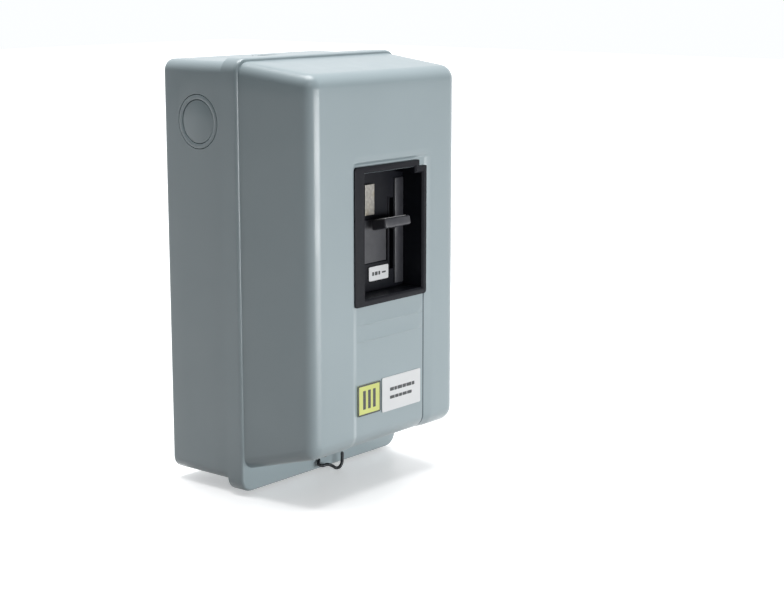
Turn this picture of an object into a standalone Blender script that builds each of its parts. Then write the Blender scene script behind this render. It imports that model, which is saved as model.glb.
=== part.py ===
"""Manual motor starter (motor protection breaker) in a wall-mounted sheet-steel enclosure.

Metres, +Z up.  The origin is the middle of the enclosure's back face, which lies against the wall.
The front looks along -Y and +X is to the right when facing it.
"""

from math import cos, pi, radians, sin

import bmesh
import bpy
from mathutils import Vector

MM = 0.001
GAP = 0.3 * MM                # running room between pieces that touch

# Enclosure box: a folded sheet-steel tray, open to the front.
BOX_WIDTH = 121.3 * MM
BOX_HEIGHT = 219.0 * MM
BOX_DEPTH = 52.0 * MM
BOX_CORNER = 6.2 * MM
SHEET = 1.5 * MM
HALF_WIDTH = BOX_WIDTH / 2
HALF_HEIGHT = BOX_HEIGHT / 2

# Knockouts: a 1/2 in disc inside a 3/4 in ring, one pair on each side.
KNOCKOUT_RADIUS = 14.1 * MM
KNOCKOUT_INNER = 11.1 * MM
KNOCKOUT_Y = -25.0 * MM
SIDE_KNOCKOUT_Z = 78.4 * MM

# Cover: a drawn shell with a rim that laps the box and a ledge along its bottom.
RIM_BACK_Y = -44.0 * MM
RIM_FRONT_Y = -54.6 * MM
RIM_HALF = 62.5 * MM
RIM_TOP = 111.4 * MM
RIM_BOTTOM = -113.7 * MM
RIM_CORNER = 7.5 * MM
FRONT_Y = -100.9 * MM
FRONT_HALF = 57.7 * MM
FRONT_TOP = 104.2 * MM
FRONT_BOTTOM = -88.3 * MM
FRONT_EDGE = 6.5 * MM
SHOULDER_HALF = 61.1 * MM
SHOULDER_TOP = 109.7 * MM
SHOULDER_BOTTOM = -101.0 * MM

# Stamped channel that runs from above the window down through the cover's lower edge.
CHANNEL_DEPTH = 1.2 * MM
CHANNEL_LEFT = -28.0 * MM
CHANNEL_RIGHT = 31.9 * MM
CHANNEL_TOP = 60.1 * MM
CHANNEL_Y = FRONT_Y + CHANNEL_DEPTH

# Bezel around the switch well.
BEZEL_LEFT = -26.4 * MM
BEZEL_RIGHT = 31.6 * MM
BEZEL_BOTTOM = -14.8 * MM
BEZEL_TOP = 57.1 * MM
BEZEL_FRONT_Y = -101.4 * MM
NOTCH_WIDTH = 6.0 * MM
NOTCH_HEIGHT = 3.4 * MM
WELL_LEFT = -18.1 * MM
WELL_RIGHT = 28.3 * MM
WELL_BOTTOM = -11.3 * MM
WELL_TOP = 53.6 * MM
SLEEVE_WALL = 1.8 * MM
WELL_FLOOR_Y = -87.5 * MM

# Lever: pivots about X, and its tip stands raised in the ON position.
PIVOT_Y = -57.0 * MM
PIVOT_Z = 16.0 * MM
ON_ANGLE = radians(12.0)
ARM_LEFT = 17.9 * MM
ARM_RIGHT = 19.9 * MM
CRANK_LENGTH = 16.0 * MM
PIN_RADIUS = 2.0 * MM
DRIVE_PIN_RADIUS = 1.5 * MM
PADDLE_ROOT = 33.8 * MM
PADDLE_TIP = 44.0 * MM
PADDLE_THICK = 5.6 * MM
PADDLE_RISE = 0.9 * MM      # the grip sits a little above the arm's centre line

# Three poles side by side.
POLE_PITCH = 26.7 * MM
POLES = (-POLE_PITCH, 0.0, POLE_PITCH)
BASE_HALF = 46.5 * MM
BASE_SCREW_X = 43.9 * MM
BASE_SCREW_Z = 63.0 * MM
BASE_BACK_Y = -2.0 * MM
BASE_FACE_Y = -10.0 * MM
RIB_FRONT_Y = -38.0 * MM
STRAP = 1.5 * MM
BRIDGE_Z = -10.5 * MM
CONTACT_Z = -12.0 * MM
RELAY_FACE_Y = -36.3 * MM

# Cover screw, in the ledge under the cover.
SCREW_Z = -104.3 * MM
LEDGE_SCREW_RADIUS = 1.5 * MM

# Trip bar.
TRIP_Y = -50.0 * MM
TRIP_Z = -23.0 * MM

ALONG_X = (pi / 2, 0.0, pi / 2)       # outline's x, y, thickness -> world Y, Z, X
FACING_FRONT = (pi / 2, 0.0, 0.0)     # outline's x, y, thickness -> world X, Z, -Y

COLOURS = {
    "grey_enamel": ((0.30, 0.37, 0.39), 0.35, 0.0),
    "black_moulding": ((0.020, 0.021, 0.025), 0.45, 0.0),
    "brown_phenolic": ((0.055, 0.030, 0.018), 0.55, 0.0),
    "zinc_steel": ((0.62, 0.61, 0.57), 0.35, 1.0),
    "dark_steel": ((0.10, 0.11, 0.12), 0.45, 1.0),
    "copper": ((0.72, 0.38, 0.22), 0.35, 1.0),
    "brass": ((0.75, 0.58, 0.28), 0.35, 1.0),
    "spring_steel": ((0.50, 0.50, 0.50), 0.30, 1.0),
    "white_label": ((0.83, 0.83, 0.83), 0.50, 0.0),
    "yellow_label": ((0.60, 0.66, 0.10), 0.50, 0.0),
    "green_screw": ((0.05, 0.25, 0.09), 0.45, 0.0),
}


# ---------------------------------------------------------------- tools

def clear_scene():
    """Remove every object and start two collections, one for parts and one for cutters."""
    for item in list(bpy.data.objects):
        bpy.data.objects.remove(item, do_unlink=True)
    collections = {}
    for name in ("motor_protection_breaker", "cutters"):
        group = bpy.data.collections.new(name)
        bpy.context.scene.collection.children.link(group)
        collections[name] = group
    return collections["motor_protection_breaker"], collections["cutters"]


PARTS, CUTTERS = clear_scene()


def paint(item, slot):
    """Give a part its own Principled material in one of the named finishes."""
    colour, roughness, metallic = COLOURS[slot]
    material = bpy.data.materials.new(item.name + "_" + slot)
    material.use_nodes = True
    shader = material.node_tree.nodes["Principled BSDF"]
    shader.inputs["Base Color"].default_value = (*colour, 1.0)
    shader.inputs["Roughness"].default_value = roughness
    shader.inputs["Metallic"].default_value = metallic
    item.data.materials.clear()
    item.data.materials.append(material)


def place(item, slot=None):
    """Link an object as a part in a finish, or as a hidden cutter when it has none."""
    for group in list(item.users_collection):
        group.objects.unlink(item)
    if slot is None:
        CUTTERS.objects.link(item)
        item.hide_render = True
        item.display_type = "WIRE"
    else:
        PARTS.objects.link(item)
        paint(item, slot)
    return item


def smooth(item, degrees=35.0):
    item.data.shade_smooth()
    item.data.set_sharp_from_angle(angle=radians(degrees))
    return item


def block(name, low, high, slot=None, bevel=0.0):
    """A cuboid between two corners, with its edges bevelled when asked."""
    low, high = Vector(low), Vector(high)
    mesh = bpy.data.meshes.new(name)
    shape = bmesh.new()
    bmesh.ops.create_cube(shape, size=1.0)
    bmesh.ops.scale(shape, vec=high - low, verts=shape.verts)
    shape.to_mesh(mesh)
    shape.free()
    item = bpy.data.objects.new(name, mesh)
    item.location = (low + high) / 2
    place(item, slot)
    if bevel:
        edge = item.modifiers.new("edges", "BEVEL")
        edge.width = bevel
        edge.segments = 1
    return item


def rod(name, radius, start, end, slot=None, segments=16):
    """A plain cylinder between two points."""
    start, end = Vector(start), Vector(end)
    mesh = bpy.data.meshes.new(name)
    shape = bmesh.new()
    bmesh.ops.create_cone(shape, cap_ends=True, segments=segments, radius1=radius,
                          radius2=radius, depth=(end - start).length)
    shape.to_mesh(mesh)
    shape.free()
    item = bpy.data.objects.new(name, mesh)
    item.location = (start + end) / 2
    item.rotation_euler = (end - start).to_track_quat("Z", "Y").to_euler()
    place(item, slot)
    return smooth(item)


def turned(name, profile, location, rotation, slot=None, steps=16):
    """A solid of revolution about its own Z; the profile runs from the top down its outer side."""
    mesh = bpy.data.meshes.new(name)
    points = [(radius, 0.0, height) for radius, height in profile]
    mesh.from_pydata(points, [(i, i + 1) for i in range(len(points) - 1)], [])
    item = bpy.data.objects.new(name, mesh)
    item.location = location
    item.rotation_euler = rotation
    place(item, slot)
    spin = item.modifiers.new("turn", "SCREW")
    spin.steps = steps
    spin.render_steps = steps
    spin.use_merge_vertices = True
    spin.merge_threshold = 0.00001
    spin.use_smooth_shade = False
    return item


def curve_to_mesh(item):
    """Replace a curve object by the mesh it makes, with its caps welded."""
    bpy.context.view_layer.update()
    graph = bpy.context.evaluated_depsgraph_get()
    mesh = bpy.data.meshes.new_from_object(item.evaluated_get(graph))
    shape = bmesh.new()
    shape.from_mesh(mesh)
    bmesh.ops.remove_doubles(shape, verts=shape.verts, dist=0.000001)
    shape.to_mesh(mesh)
    shape.free()
    name, matrix = item.name, item.matrix_world.copy()
    bpy.data.objects.remove(item, do_unlink=True)
    solid = bpy.data.objects.new(name, mesh)
    solid.matrix_world = matrix
    return solid


def outline(name, loops, thickness, middle, rotation, slot=None):
    """A flat shape cut from sheet: the first loop is its edge and the others are holes."""
    curve = bpy.data.curves.new(name, "CURVE")
    curve.dimensions = "2D"
    curve.fill_mode = "BOTH"
    curve.extrude = thickness / 2
    for loop in loops:
        spline = curve.splines.new("POLY")
        spline.points.add(len(loop) - 1)
        for point, (across, up) in zip(spline.points, loop):
            point.co = (across, up, 0.0, 1.0)
        spline.use_cyclic_u = True
    item = bpy.data.objects.new(name, curve)
    bpy.context.scene.collection.objects.link(item)
    item.location = middle
    item.rotation_euler = rotation
    return place(curve_to_mesh(item), slot)


def side_plate(name, loops, low_x, high_x, slot=None):
    """A sheet outline in the Y-Z plane, between two x positions."""
    middle = ((low_x + high_x) / 2, 0.0, 0.0)
    return outline(name, loops, high_x - low_x, middle, ALONG_X, slot)


def face_plate(name, loops, front_y, back_y, slot=None):
    """A sheet outline in the X-Z plane, between a front and a back plane."""
    middle = (0.0, (front_y + back_y) / 2, 0.0)
    return outline(name, loops, back_y - front_y, middle, FACING_FRONT, slot)


def wire(name, points, radius, slot, sides=2):
    """A round wire through a list of points, with closed ends."""
    curve = bpy.data.curves.new(name, "CURVE")
    curve.dimensions = "3D"
    curve.bevel_depth = radius
    curve.bevel_resolution = sides
    curve.use_fill_caps = True
    spline = curve.splines.new("POLY")
    spline.points.add(len(points) - 1)
    for point, place_at in zip(spline.points, points):
        point.co = (*place_at, 1.0)
    item = bpy.data.objects.new(name, curve)
    bpy.context.scene.collection.objects.link(item)
    return smooth(place(curve_to_mesh(item), slot))


def combine(item, others, operation):
    """Join pieces to an object, or cut them from it, with exact Booleans."""
    for other in others:
        step = item.modifiers.new(operation.lower(), "BOOLEAN")
        step.operation = operation
        step.solver = "EXACT"
        step.object = other
    return item


def cut(item, *cutters):
    return combine(item, cutters, "DIFFERENCE")


def join(item, *pieces):
    return combine(item, pieces, "UNION")


def circle(across, up, radius, count=12):
    """Points round a circle in an outline's own plane."""
    return [(across + radius * cos(2 * pi * i / count), up + radius * sin(2 * pi * i / count))
            for i in range(count)]


def rounded_rectangle(left, right, low, high, radius, steps=4):
    """Points round a rectangle with round corners, anticlockwise from the lower right."""
    corners = ((right - radius, low + radius, -90), (right - radius, high - radius, 0),
               (left + radius, high - radius, 90), (left + radius, low + radius, 180))
    points = []
    for across, up, start in corners:
        for i in range(steps + 1):
            angle = radians(start + 90 * i / steps)
            points.append((across + radius * cos(angle), up + radius * sin(angle)))
    return points


def rectangle(left, right, low, high):
    return [(left, low), (right, low), (right, high), (left, high)]


def loft(name, rings, slot=None):
    """A closed solid through rings of (y, half width, low z, high z, corner radius), back to front."""
    mesh = bpy.data.meshes.new(name)
    shape = bmesh.new()
    rows = []
    for y, half, low, high, corner in rings:
        edge = rounded_rectangle(-half, half, low, high, corner)
        rows.append([shape.verts.new((across, y, up)) for across, up in edge])
    count = len(rows[0])
    for back, front in zip(rows, rows[1:]):
        for i in range(count):
            j = (i + 1) % count
            shape.faces.new((back[i], back[j], front[j], front[i]))
    shape.faces.new(rows[0][::-1])
    shape.faces.new(rows[-1])
    bmesh.ops.recalc_face_normals(shape, faces=shape.faces)
    shape.to_mesh(mesh)
    shape.free()
    item = bpy.data.objects.new(name, mesh)
    place(item, slot)
    return smooth(item, 50.0)


def pivot(name, location, tilt=0.0):
    """An empty on a joint's axis, which carries the pieces that move about it."""
    empty = bpy.data.objects.new(name, None)
    empty.location = location
    empty.rotation_euler = (tilt, 0.0, 0.0)
    empty.empty_display_size = 5 * MM
    PARTS.objects.link(empty)
    return empty


def carry(empty, *items):
    """Parent pieces that are placed in the world to an empty, without moving them."""
    bpy.context.view_layer.update()
    for item in items:
        world = item.matrix_world.copy()
        item.parent = empty
        item.matrix_parent_inverse = empty.matrix_world.inverted()
        item.matrix_world = world


# ---------------------------------------------------------------- enclosure

def knockout_sites():
    """Name, centre of the outer face and outward direction of each conduit knockout."""
    return (
        ("left", Vector((-HALF_WIDTH, KNOCKOUT_Y, SIDE_KNOCKOUT_Z)), Vector((-1, 0, 0))),
        ("right", Vector((HALF_WIDTH, KNOCKOUT_Y, SIDE_KNOCKOUT_Z)), Vector((1, 0, 0))),
        ("top", Vector((0, KNOCKOUT_Y, HALF_HEIGHT)), Vector((0, 0, 1))),
        ("bottom", Vector((0, KNOCKOUT_Y, -HALF_HEIGHT)), Vector((0, 0, -1))),
    )


def make_back_box():
    edge = rounded_rectangle(-HALF_WIDTH, HALF_WIDTH, -HALF_HEIGHT, HALF_HEIGHT, BOX_CORNER)
    mesh = bpy.data.meshes.new("back_box")
    shape = bmesh.new()
    back = [shape.verts.new((across, 0.0, up)) for across, up in edge]
    front = [shape.verts.new((across, -BOX_DEPTH, up)) for across, up in edge]
    shape.faces.new(back)
    for i in range(len(edge)):
        j = (i + 1) % len(edge)
        shape.faces.new((back[i], back[j], front[j], front[i]))
    bmesh.ops.recalc_face_normals(shape, faces=shape.faces)
    floor = max(shape.faces, key=lambda face: len(face.verts))
    if floor.normal.y < 0:
        bmesh.ops.reverse_faces(shape, faces=shape.faces)
    shape.to_mesh(mesh)
    shape.free()
    box = place(bpy.data.objects.new("back_box", mesh), "grey_enamel")
    smooth(box, 40.0)
    fold = box.modifiers.new("fold", "BEVEL")
    fold.width = 2.2 * MM
    fold.segments = 2
    fold.angle_limit = radians(60)
    wall = box.modifiers.new("sheet", "SOLIDIFY")
    wall.thickness = SHEET
    wall.offset = -1.0
    for name, centre, out in knockout_sites():
        reach = out * 4 * MM
        cut(box, rod("cut_knockout_" + name, KNOCKOUT_RADIUS, centre - reach, centre + reach,
                     segments=24))
    for name, across, up in (("top", 0.0, 92.0), ("left", -38.0, -92.0), ("right", 38.0, -92.0)):
        start = (across * MM, 4 * MM, up * MM)
        cut(box, rod("cut_mounting_" + name, 3.5 * MM, start, (start[0], -4 * MM, start[2]),
                     segments=12))
    return box


def make_knockouts():
    for name, centre, out in knockout_sites():
        inner = centre - out * SHEET
        rod("knockout_" + name + "_disc", KNOCKOUT_INNER, inner, centre, "grey_enamel", 24)
        ring = rod("knockout_" + name + "_ring", KNOCKOUT_RADIUS - GAP, inner, centre,
                   "grey_enamel", 24)
        reach = out * 2 * MM
        cut(ring, rod("cut_ring_" + name, KNOCKOUT_INNER + GAP, inner - reach, centre + reach,
                      segments=24))


def make_cover_catch():
    """An angle on the box floor whose upright takes the cover screw."""
    front, back = -50.0 * MM, -41.0 * MM
    floor = -HALF_HEIGHT + SHEET + GAP
    profile = [(front, floor), (back, floor), (back, floor + SHEET),
               (front + SHEET, floor + SHEET), (front + SHEET, -99 * MM), (front, -99 * MM)]
    catch = side_plate("cover_catch", [profile], -8 * MM, 8 * MM, "zinc_steel")
    hole = rod("cut_catch", LEDGE_SCREW_RADIUS + 0.4 * MM, (0, front - 2 * MM, SCREW_Z),
               (0, front + 4 * MM, SCREW_Z), segments=12)
    return cut(catch, hole)


def screw(name, head_radius, head_height, shank_radius, length, under_head, slot):
    """A slotted pan-head screw facing the front; under_head is the point below its head."""
    top = head_height
    profile = [(0, top), (head_radius * 0.75, top), (head_radius, top * 0.6), (head_radius, 0),
               (shank_radius, 0), (shank_radius, -length), (0, -length)]
    item = turned(name, profile, under_head, FACING_FRONT, slot, 12)
    across, y, up = under_head
    groove = block("cut_slot_" + name,
                   (across - 2 * head_radius, y - 2 * head_height, up - 0.5 * MM),
                   (across + 2 * head_radius, y - 0.55 * head_height, up + 0.5 * MM))
    return cut(item, groove)


def make_ground_screw():
    screw("ground_screw", 4.5 * MM, 2.6 * MM, 2.0 * MM, 4.0 * MM,
          (45 * MM, -5.9 * MM, -92 * MM), "green_screw")


# ---------------------------------------------------------------- switch body

def make_base_block():
    """Moulded base: a back plate, four barriers between the poles and an upper front wall."""
    base = block("base_block", (-BASE_HALF, BASE_FACE_Y, -68 * MM), (BASE_HALF, BASE_BACK_Y, 66 * MM),
                 "brown_phenolic")
    for number in range(4):
        middle = (number - 1.5) * POLE_PITCH
        rib = block(f"add_barrier_{number + 1}", (middle - 1.25 * MM, RIB_FRONT_Y, -16 * MM),
                    (middle + 1.25 * MM, BASE_FACE_Y + 1 * MM, 60 * MM))
        join(base, rib)
    join(base, block("add_front_wall", (-41.3 * MM, RIB_FRONT_Y, 24 * MM),
                     (41.3 * MM, RIB_FRONT_Y + 4 * MM, 46 * MM)))
    for side in (-1, 1):
        start = Vector((side * BASE_SCREW_X, BASE_FACE_Y - 4 * MM, -side * BASE_SCREW_Z))
        cut(base, rod(f"cut_base_{side}", 1.8 * MM, start, start + Vector((0, 14 * MM, 0)),
                      segments=12))
    return base


def make_base_screws():
    for number, side in ((1, -1), (2, 1)):
        screw(f"base_screw_{number}", 2.4 * MM, 2.0 * MM, 1.5 * MM, 8.0 * MM,
              (side * BASE_SCREW_X, BASE_FACE_Y - GAP, -side * BASE_SCREW_Z), "zinc_steel")


def make_relay_block():
    """Overload relay body below the contacts, with ears for the trip bar and a spring seat."""
    relay = block("relay_block", (-41 * MM, RELAY_FACE_Y, -66 * MM),
                  (41 * MM, BASE_FACE_Y - GAP, -22 * MM), "black_moulding")
    for side in (-1, 1):
        inner, outer = side * 38.5 * MM, side * 41 * MM
        ear = block(f"add_ear_{side}", (min(inner, outer), -54 * MM, -30 * MM),
                    (max(inner, outer), RELAY_FACE_Y + 2 * MM, -17 * MM))
        join(relay, ear)
    spring_x = -POLE_PITCH / 2
    join(relay, block("add_seat", (spring_x - 3 * MM, -45.5 * MM, -25 * MM),
                      (spring_x + 3 * MM, RELAY_FACE_Y + 2 * MM, -22.5 * MM)))
    bore = rod("cut_trip_bore", PIN_RADIUS + GAP, (-50 * MM, TRIP_Y, TRIP_Z),
               (50 * MM, TRIP_Y, TRIP_Z), segments=12)
    return cut(relay, bore)


def make_conductors():
    """Line and load conductors of each pole, with their contacts, terminals and heaters."""
    foot_top = CONTACT_Z - 1.2 * MM
    foot = foot_top - STRAP
    strap_y = BASE_FACE_Y - GAP
    for number, middle in enumerate(POLES, 1):
        line_x, load_x = middle - 7 * MM, middle + 7 * MM
        up_strap = [(-27 * MM, foot), (strap_y, foot), (strap_y, 64 * MM),
                    (strap_y - STRAP, 64 * MM), (strap_y - STRAP, foot_top), (-27 * MM, foot_top)]
        line = side_plate(f"line_contact_{number}", [up_strap], line_x - 3 * MM, line_x + 3 * MM,
                          "copper")
        pad = block(f"add_pad_{number}", (line_x - 2.9 * MM, strap_y - STRAP, 48 * MM),
                    (line_x + 14 * MM, strap_y, 63.9 * MM))
        button = rod(f"add_line_button_{number}", 2.4 * MM, (line_x, -24 * MM, foot_top - 0.5 * MM),
                     (line_x, -24 * MM, CONTACT_Z), segments=12)
        hole = rod(f"cut_line_{number}", 2.2 * MM, (middle, -16 * MM, 56 * MM),
                   (middle, -6 * MM, 56 * MM), segments=12)
        cut(join(line, pad, button), hole)
        screw(f"line_screw_{number}", 4.0 * MM, 2.8 * MM, 1.9 * MM, 1.6 * MM,
              (middle, strap_y - STRAP - GAP, 56 * MM), "brass")

        down_strap = [(-38 * MM, -33 * MM), (-36.6 * MM, -33 * MM), (-36.6 * MM, foot),
                      (-20 * MM, foot), (-20 * MM, foot_top), (-38 * MM, foot_top)]
        load = side_plate(f"load_contact_{number}", [down_strap], load_x - 3 * MM, load_x + 3 * MM,
                          "copper")
        join(load, rod(f"add_load_button_{number}", 2.4 * MM,
                       (load_x, -24 * MM, foot_top - 0.5 * MM), (load_x, -24 * MM, CONTACT_Z),
                       segments=12))

        tab = rectangle(middle - 7 * MM, middle + 7 * MM, -64 * MM, -50 * MM)
        bore = circle(middle, -57 * MM, 2.2 * MM)
        face_plate(f"load_terminal_{number}", [tab, bore], -38.1 * MM, -36.6 * MM, "copper")
        screw(f"load_screw_{number}", 4.0 * MM, 2.8 * MM, 1.9 * MM, 1.6 * MM,
              (middle, -38.4 * MM, -57 * MM), "brass")

        heater = block(f"heater_unit_{number}", (middle - 8.5 * MM, -45 * MM, -48.5 * MM),
                       (middle + 8.5 * MM, -38.4 * MM, -30 * MM), "brown_phenolic", 0.8 * MM)
        join(heater, rod(f"add_barrel_{number}", 5.2 * MM, (middle, -49 * MM, -39.5 * MM),
                         (middle, -42 * MM, -39.5 * MM), segments=12))


def make_frame_plates():
    front, low, high = -84 * MM, -12 * MM, 44 * MM
    leg_low, rear, throat = 27 * MM, RIB_FRONT_Y - GAP, -52 * MM
    profile = [(front, low), (throat, low), (throat, leg_low), (rear, leg_low), (rear, high),
               (front, high)]
    hole = circle(PIVOT_Y, PIVOT_Z, PIN_RADIUS + GAP)
    side_plate("frame_plate_left", [profile, hole], 7.5 * MM, 9.0 * MM, "zinc_steel")
    side_plate("frame_plate_right", [profile, hole], 29.0 * MM, 30.5 * MM, "zinc_steel")
    rod("pivot_pin", PIN_RADIUS, (5.5 * MM, PIVOT_Y, PIVOT_Z), (31.5 * MM, PIVOT_Y, PIVOT_Z),
        "dark_steel", 12)


def make_lever_spring():
    """Over-centre spring, coiled round the pivot pin between the left plate and the arm."""
    turns, steps, radius = 4, 10, 3.4 * MM
    points = []
    for i in range(turns * steps + 1):
        angle = 2 * pi * i / steps
        across = 10.4 * MM + 5.6 * MM * i / (turns * steps)
        points.append((across, PIVOT_Y + radius * cos(angle), PIVOT_Z + radius * sin(angle)))
    points.append((16.0 * MM, PIVOT_Y + radius, PIVOT_Z + 12 * MM))
    wire("lever_spring", points, 0.55 * MM, "spring_steel", 1)


def make_front_housing():
    """Moulded front: the floor of the switch well, with slots for the lever arm and lock tab."""
    housing = block("front_housing", (-24 * MM, WELL_FLOOR_Y, -18 * MM), (34 * MM, -54 * MM, 60 * MM),
                    "black_moulding", 0.8 * MM)
    guide = block("add_guide_strip", (20.9 * MM, WELL_FLOOR_Y - 1 * MM, -9.5 * MM),
                  (27.9 * MM, WELL_FLOOR_Y + 1 * MM, 46.9 * MM))
    hollow = block("cut_hollow", (-22 * MM, WELL_FLOOR_Y + 2.5 * MM, -16 * MM),
                   (32 * MM, -50 * MM, 58 * MM))
    slot = block("cut_lever_slot", (17.1 * MM, -92 * MM, -1.5 * MM), (20.7 * MM, -80 * MM, 36.5 * MM))
    stem_slot = block("cut_stem_slot", (-0.9 * MM, -92 * MM, 30.4 * MM),
                      (1.3 * MM, -80 * MM, 41.6 * MM))
    cut(join(housing, guide), hollow, slot, stem_slot)
    label = rectangle(-0.1 * MM, 15.7 * MM, -5.9 * MM, 1.6 * MM)
    face_plate("well_label", [label], WELL_FLOOR_Y - 0.7 * MM, WELL_FLOOR_Y - GAP, "white_label")


def make_lock_tab():
    """Pull-out tab; its stem shows a padlock hole when it is drawn forward."""
    tab = block("lock_tab", (-4.3 * MM, WELL_FLOOR_Y - 1.8 * MM, 29.4 * MM),
                (3.1 * MM, WELL_FLOOR_Y - 0.6 * MM, 45.6 * MM), "zinc_steel")
    stem = side_plate("add_stem", [rectangle(-88.2 * MM, -68 * MM, 31 * MM, 41 * MM),
                                   circle(-81.5 * MM, 36 * MM, 3.2 * MM)],
                      -0.5 * MM, 0.9 * MM)
    join(tab, stem)
    carry(pivot("lock_tab_slide", (0, WELL_FLOOR_Y, 36 * MM)), tab)


# ---------------------------------------------------------------- lever and contacts

def make_lever():
    """Steel arm through the well slot, moulded paddle in front and drive pin behind."""
    front, root = -PADDLE_ROOT + GAP, -24 * MM
    edge = [(front, -2.4 * MM), (front, 2.4 * MM), (root, 2.6 * MM), (-5 * MM, 5.6 * MM),
            (4 * MM, 5.6 * MM), (CRANK_LENGTH + 3 * MM, 3.2 * MM),
            (CRANK_LENGTH + 3 * MM, -3.2 * MM), (4 * MM, -5.6 * MM), (-5 * MM, -5.6 * MM),
            (root, -2.6 * MM)]
    holes = [circle(0, 0, PIN_RADIUS + GAP), circle(CRANK_LENGTH, 0, DRIVE_PIN_RADIUS + 0.2 * MM)]
    arm = side_plate("lever_arm", [edge[::-1], *holes], ARM_LEFT, ARM_RIGHT, "dark_steel")
    paddle = block("lever_paddle", (-0.5 * MM, -PADDLE_TIP, PADDLE_RISE - PADDLE_THICK / 2),
                   (20.3 * MM, -PADDLE_ROOT, PADDLE_RISE + PADDLE_THICK / 2), "black_moulding",
                   0.9 * MM)
    pin = rod("drive_pin", DRIVE_PIN_RADIUS, (12.5 * MM, CRANK_LENGTH, 0),
              (25.3 * MM, CRANK_LENGTH, 0), "dark_steel", 12)
    axis = pivot("lever_pivot", (0, PIVOT_Y, PIVOT_Z), -ON_ANGLE)
    for item in (arm, paddle, pin):
        item.parent = axis


def make_carrier():
    """Moulded carrier across the poles, with a stem, spring and bridging contact in each."""
    carrier = block("contact_carrier", (-38 * MM, -46 * MM, -6 * MM), (38 * MM, -38.6 * MM, 6 * MM),
                    "black_moulding")
    pin_y = PIVOT_Y + CRANK_LENGTH * cos(ON_ANGLE)
    pin_z = PIVOT_Z - CRANK_LENGTH * sin(ON_ANGLE)
    for number, left in enumerate((12.8 * MM, 21.0 * MM), 1):
        ear = block(f"add_yoke_{number}", (left, -46 * MM, 5 * MM), (left + 4 * MM, -38.6 * MM, 16.6 * MM))
        join(carrier, ear)
    slot = block("cut_yoke", (10 * MM, pin_y - 2.4 * MM, pin_z - 1.8 * MM),
                 (27 * MM, pin_y + 2.2 * MM, pin_z + 1.8 * MM))
    moving = [carrier]
    for number, middle in enumerate(POLES, 1):
        stem = block(f"add_stem_{number}", (middle - 3.5 * MM, -39.6 * MM, -2 * MM),
                     (middle + 3.5 * MM, -20.5 * MM, 6 * MM))
        post = rod(f"add_post_{number}", 1.2 * MM, (middle, -24 * MM, -12.4 * MM),
                   (middle, -24 * MM, 1 * MM), segments=8)
        head = rod(f"add_post_head_{number}", 2.4 * MM, (middle, -24 * MM, -12.4 * MM),
                   (middle, -24 * MM, -11.0 * MM), segments=10)
        join(carrier, stem, post, head)
        moving.append(make_bridge(number, middle))
        moving.append(coil(f"contact_spring_{number}", (middle, -24 * MM), -8.6 * MM, -2.5 * MM,
                           2.2 * MM, 0.35 * MM, 3))
    cut(carrier, slot)
    carry(pivot("carrier_slide", (0, -42 * MM, 0)), *moving)


def make_bridge(number, middle):
    bar = rectangle(middle - 10 * MM, middle + 10 * MM, -27 * MM, -21 * MM)
    hole = circle(middle, -24 * MM, 1.6 * MM, 8)
    bridge = outline(f"contact_bridge_{number}", [bar, hole], STRAP,
                     (0, 0, BRIDGE_Z + STRAP / 2), (0, 0, 0), "copper")
    for side in (-1, 1):
        at = middle + side * 7 * MM
        join(bridge, rod(f"add_bridge_button_{number}_{side}", 2.4 * MM,
                         (at, -24 * MM, CONTACT_Z + GAP), (at, -24 * MM, BRIDGE_Z + 0.5 * MM),
                         segments=12))
    return bridge


def coil(name, centre, low, high, radius, wire_radius, turns):
    """A compression spring along Z between two heights."""
    steps = 8
    rise = high - low - 2 * wire_radius
    points = []
    for i in range(turns * steps + 1):
        angle = 2 * pi * i / steps
        points.append((centre[0] + radius * cos(angle), centre[1] + radius * sin(angle),
                       low + wire_radius + rise * i / (turns * steps)))
    return wire(name, points, wire_radius, "spring_steel", 1)


def make_return_spring():
    return coil("return_spring", (-POLE_PITCH / 2, -42 * MM), -22.2 * MM, -6.3 * MM,
                2.3 * MM, 0.45 * MM, 5)


def make_trip_bar():
    """Bar that the heaters release: three pawls below it and one latch finger above it."""
    bar = rod("trip_bar", PIN_RADIUS, (-41.5 * MM, TRIP_Y, TRIP_Z), (41.5 * MM, TRIP_Y, TRIP_Z),
              "zinc_steel", 12)
    finger = block("add_finger", (17 * MM, -49.2 * MM, TRIP_Z), (21 * MM, -47.4 * MM, -9 * MM))
    join(bar, finger)
    for number, middle in enumerate(POLES, 1):
        join(bar, block(f"add_pawl_{number}", (middle - 2 * MM, -50.8 * MM, -28.6 * MM),
                        (middle + 2 * MM, -49.2 * MM, TRIP_Z)))
    carry(pivot("trip_bar_pivot", (0, TRIP_Y, TRIP_Z)), bar)


# ---------------------------------------------------------------- cover

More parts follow.
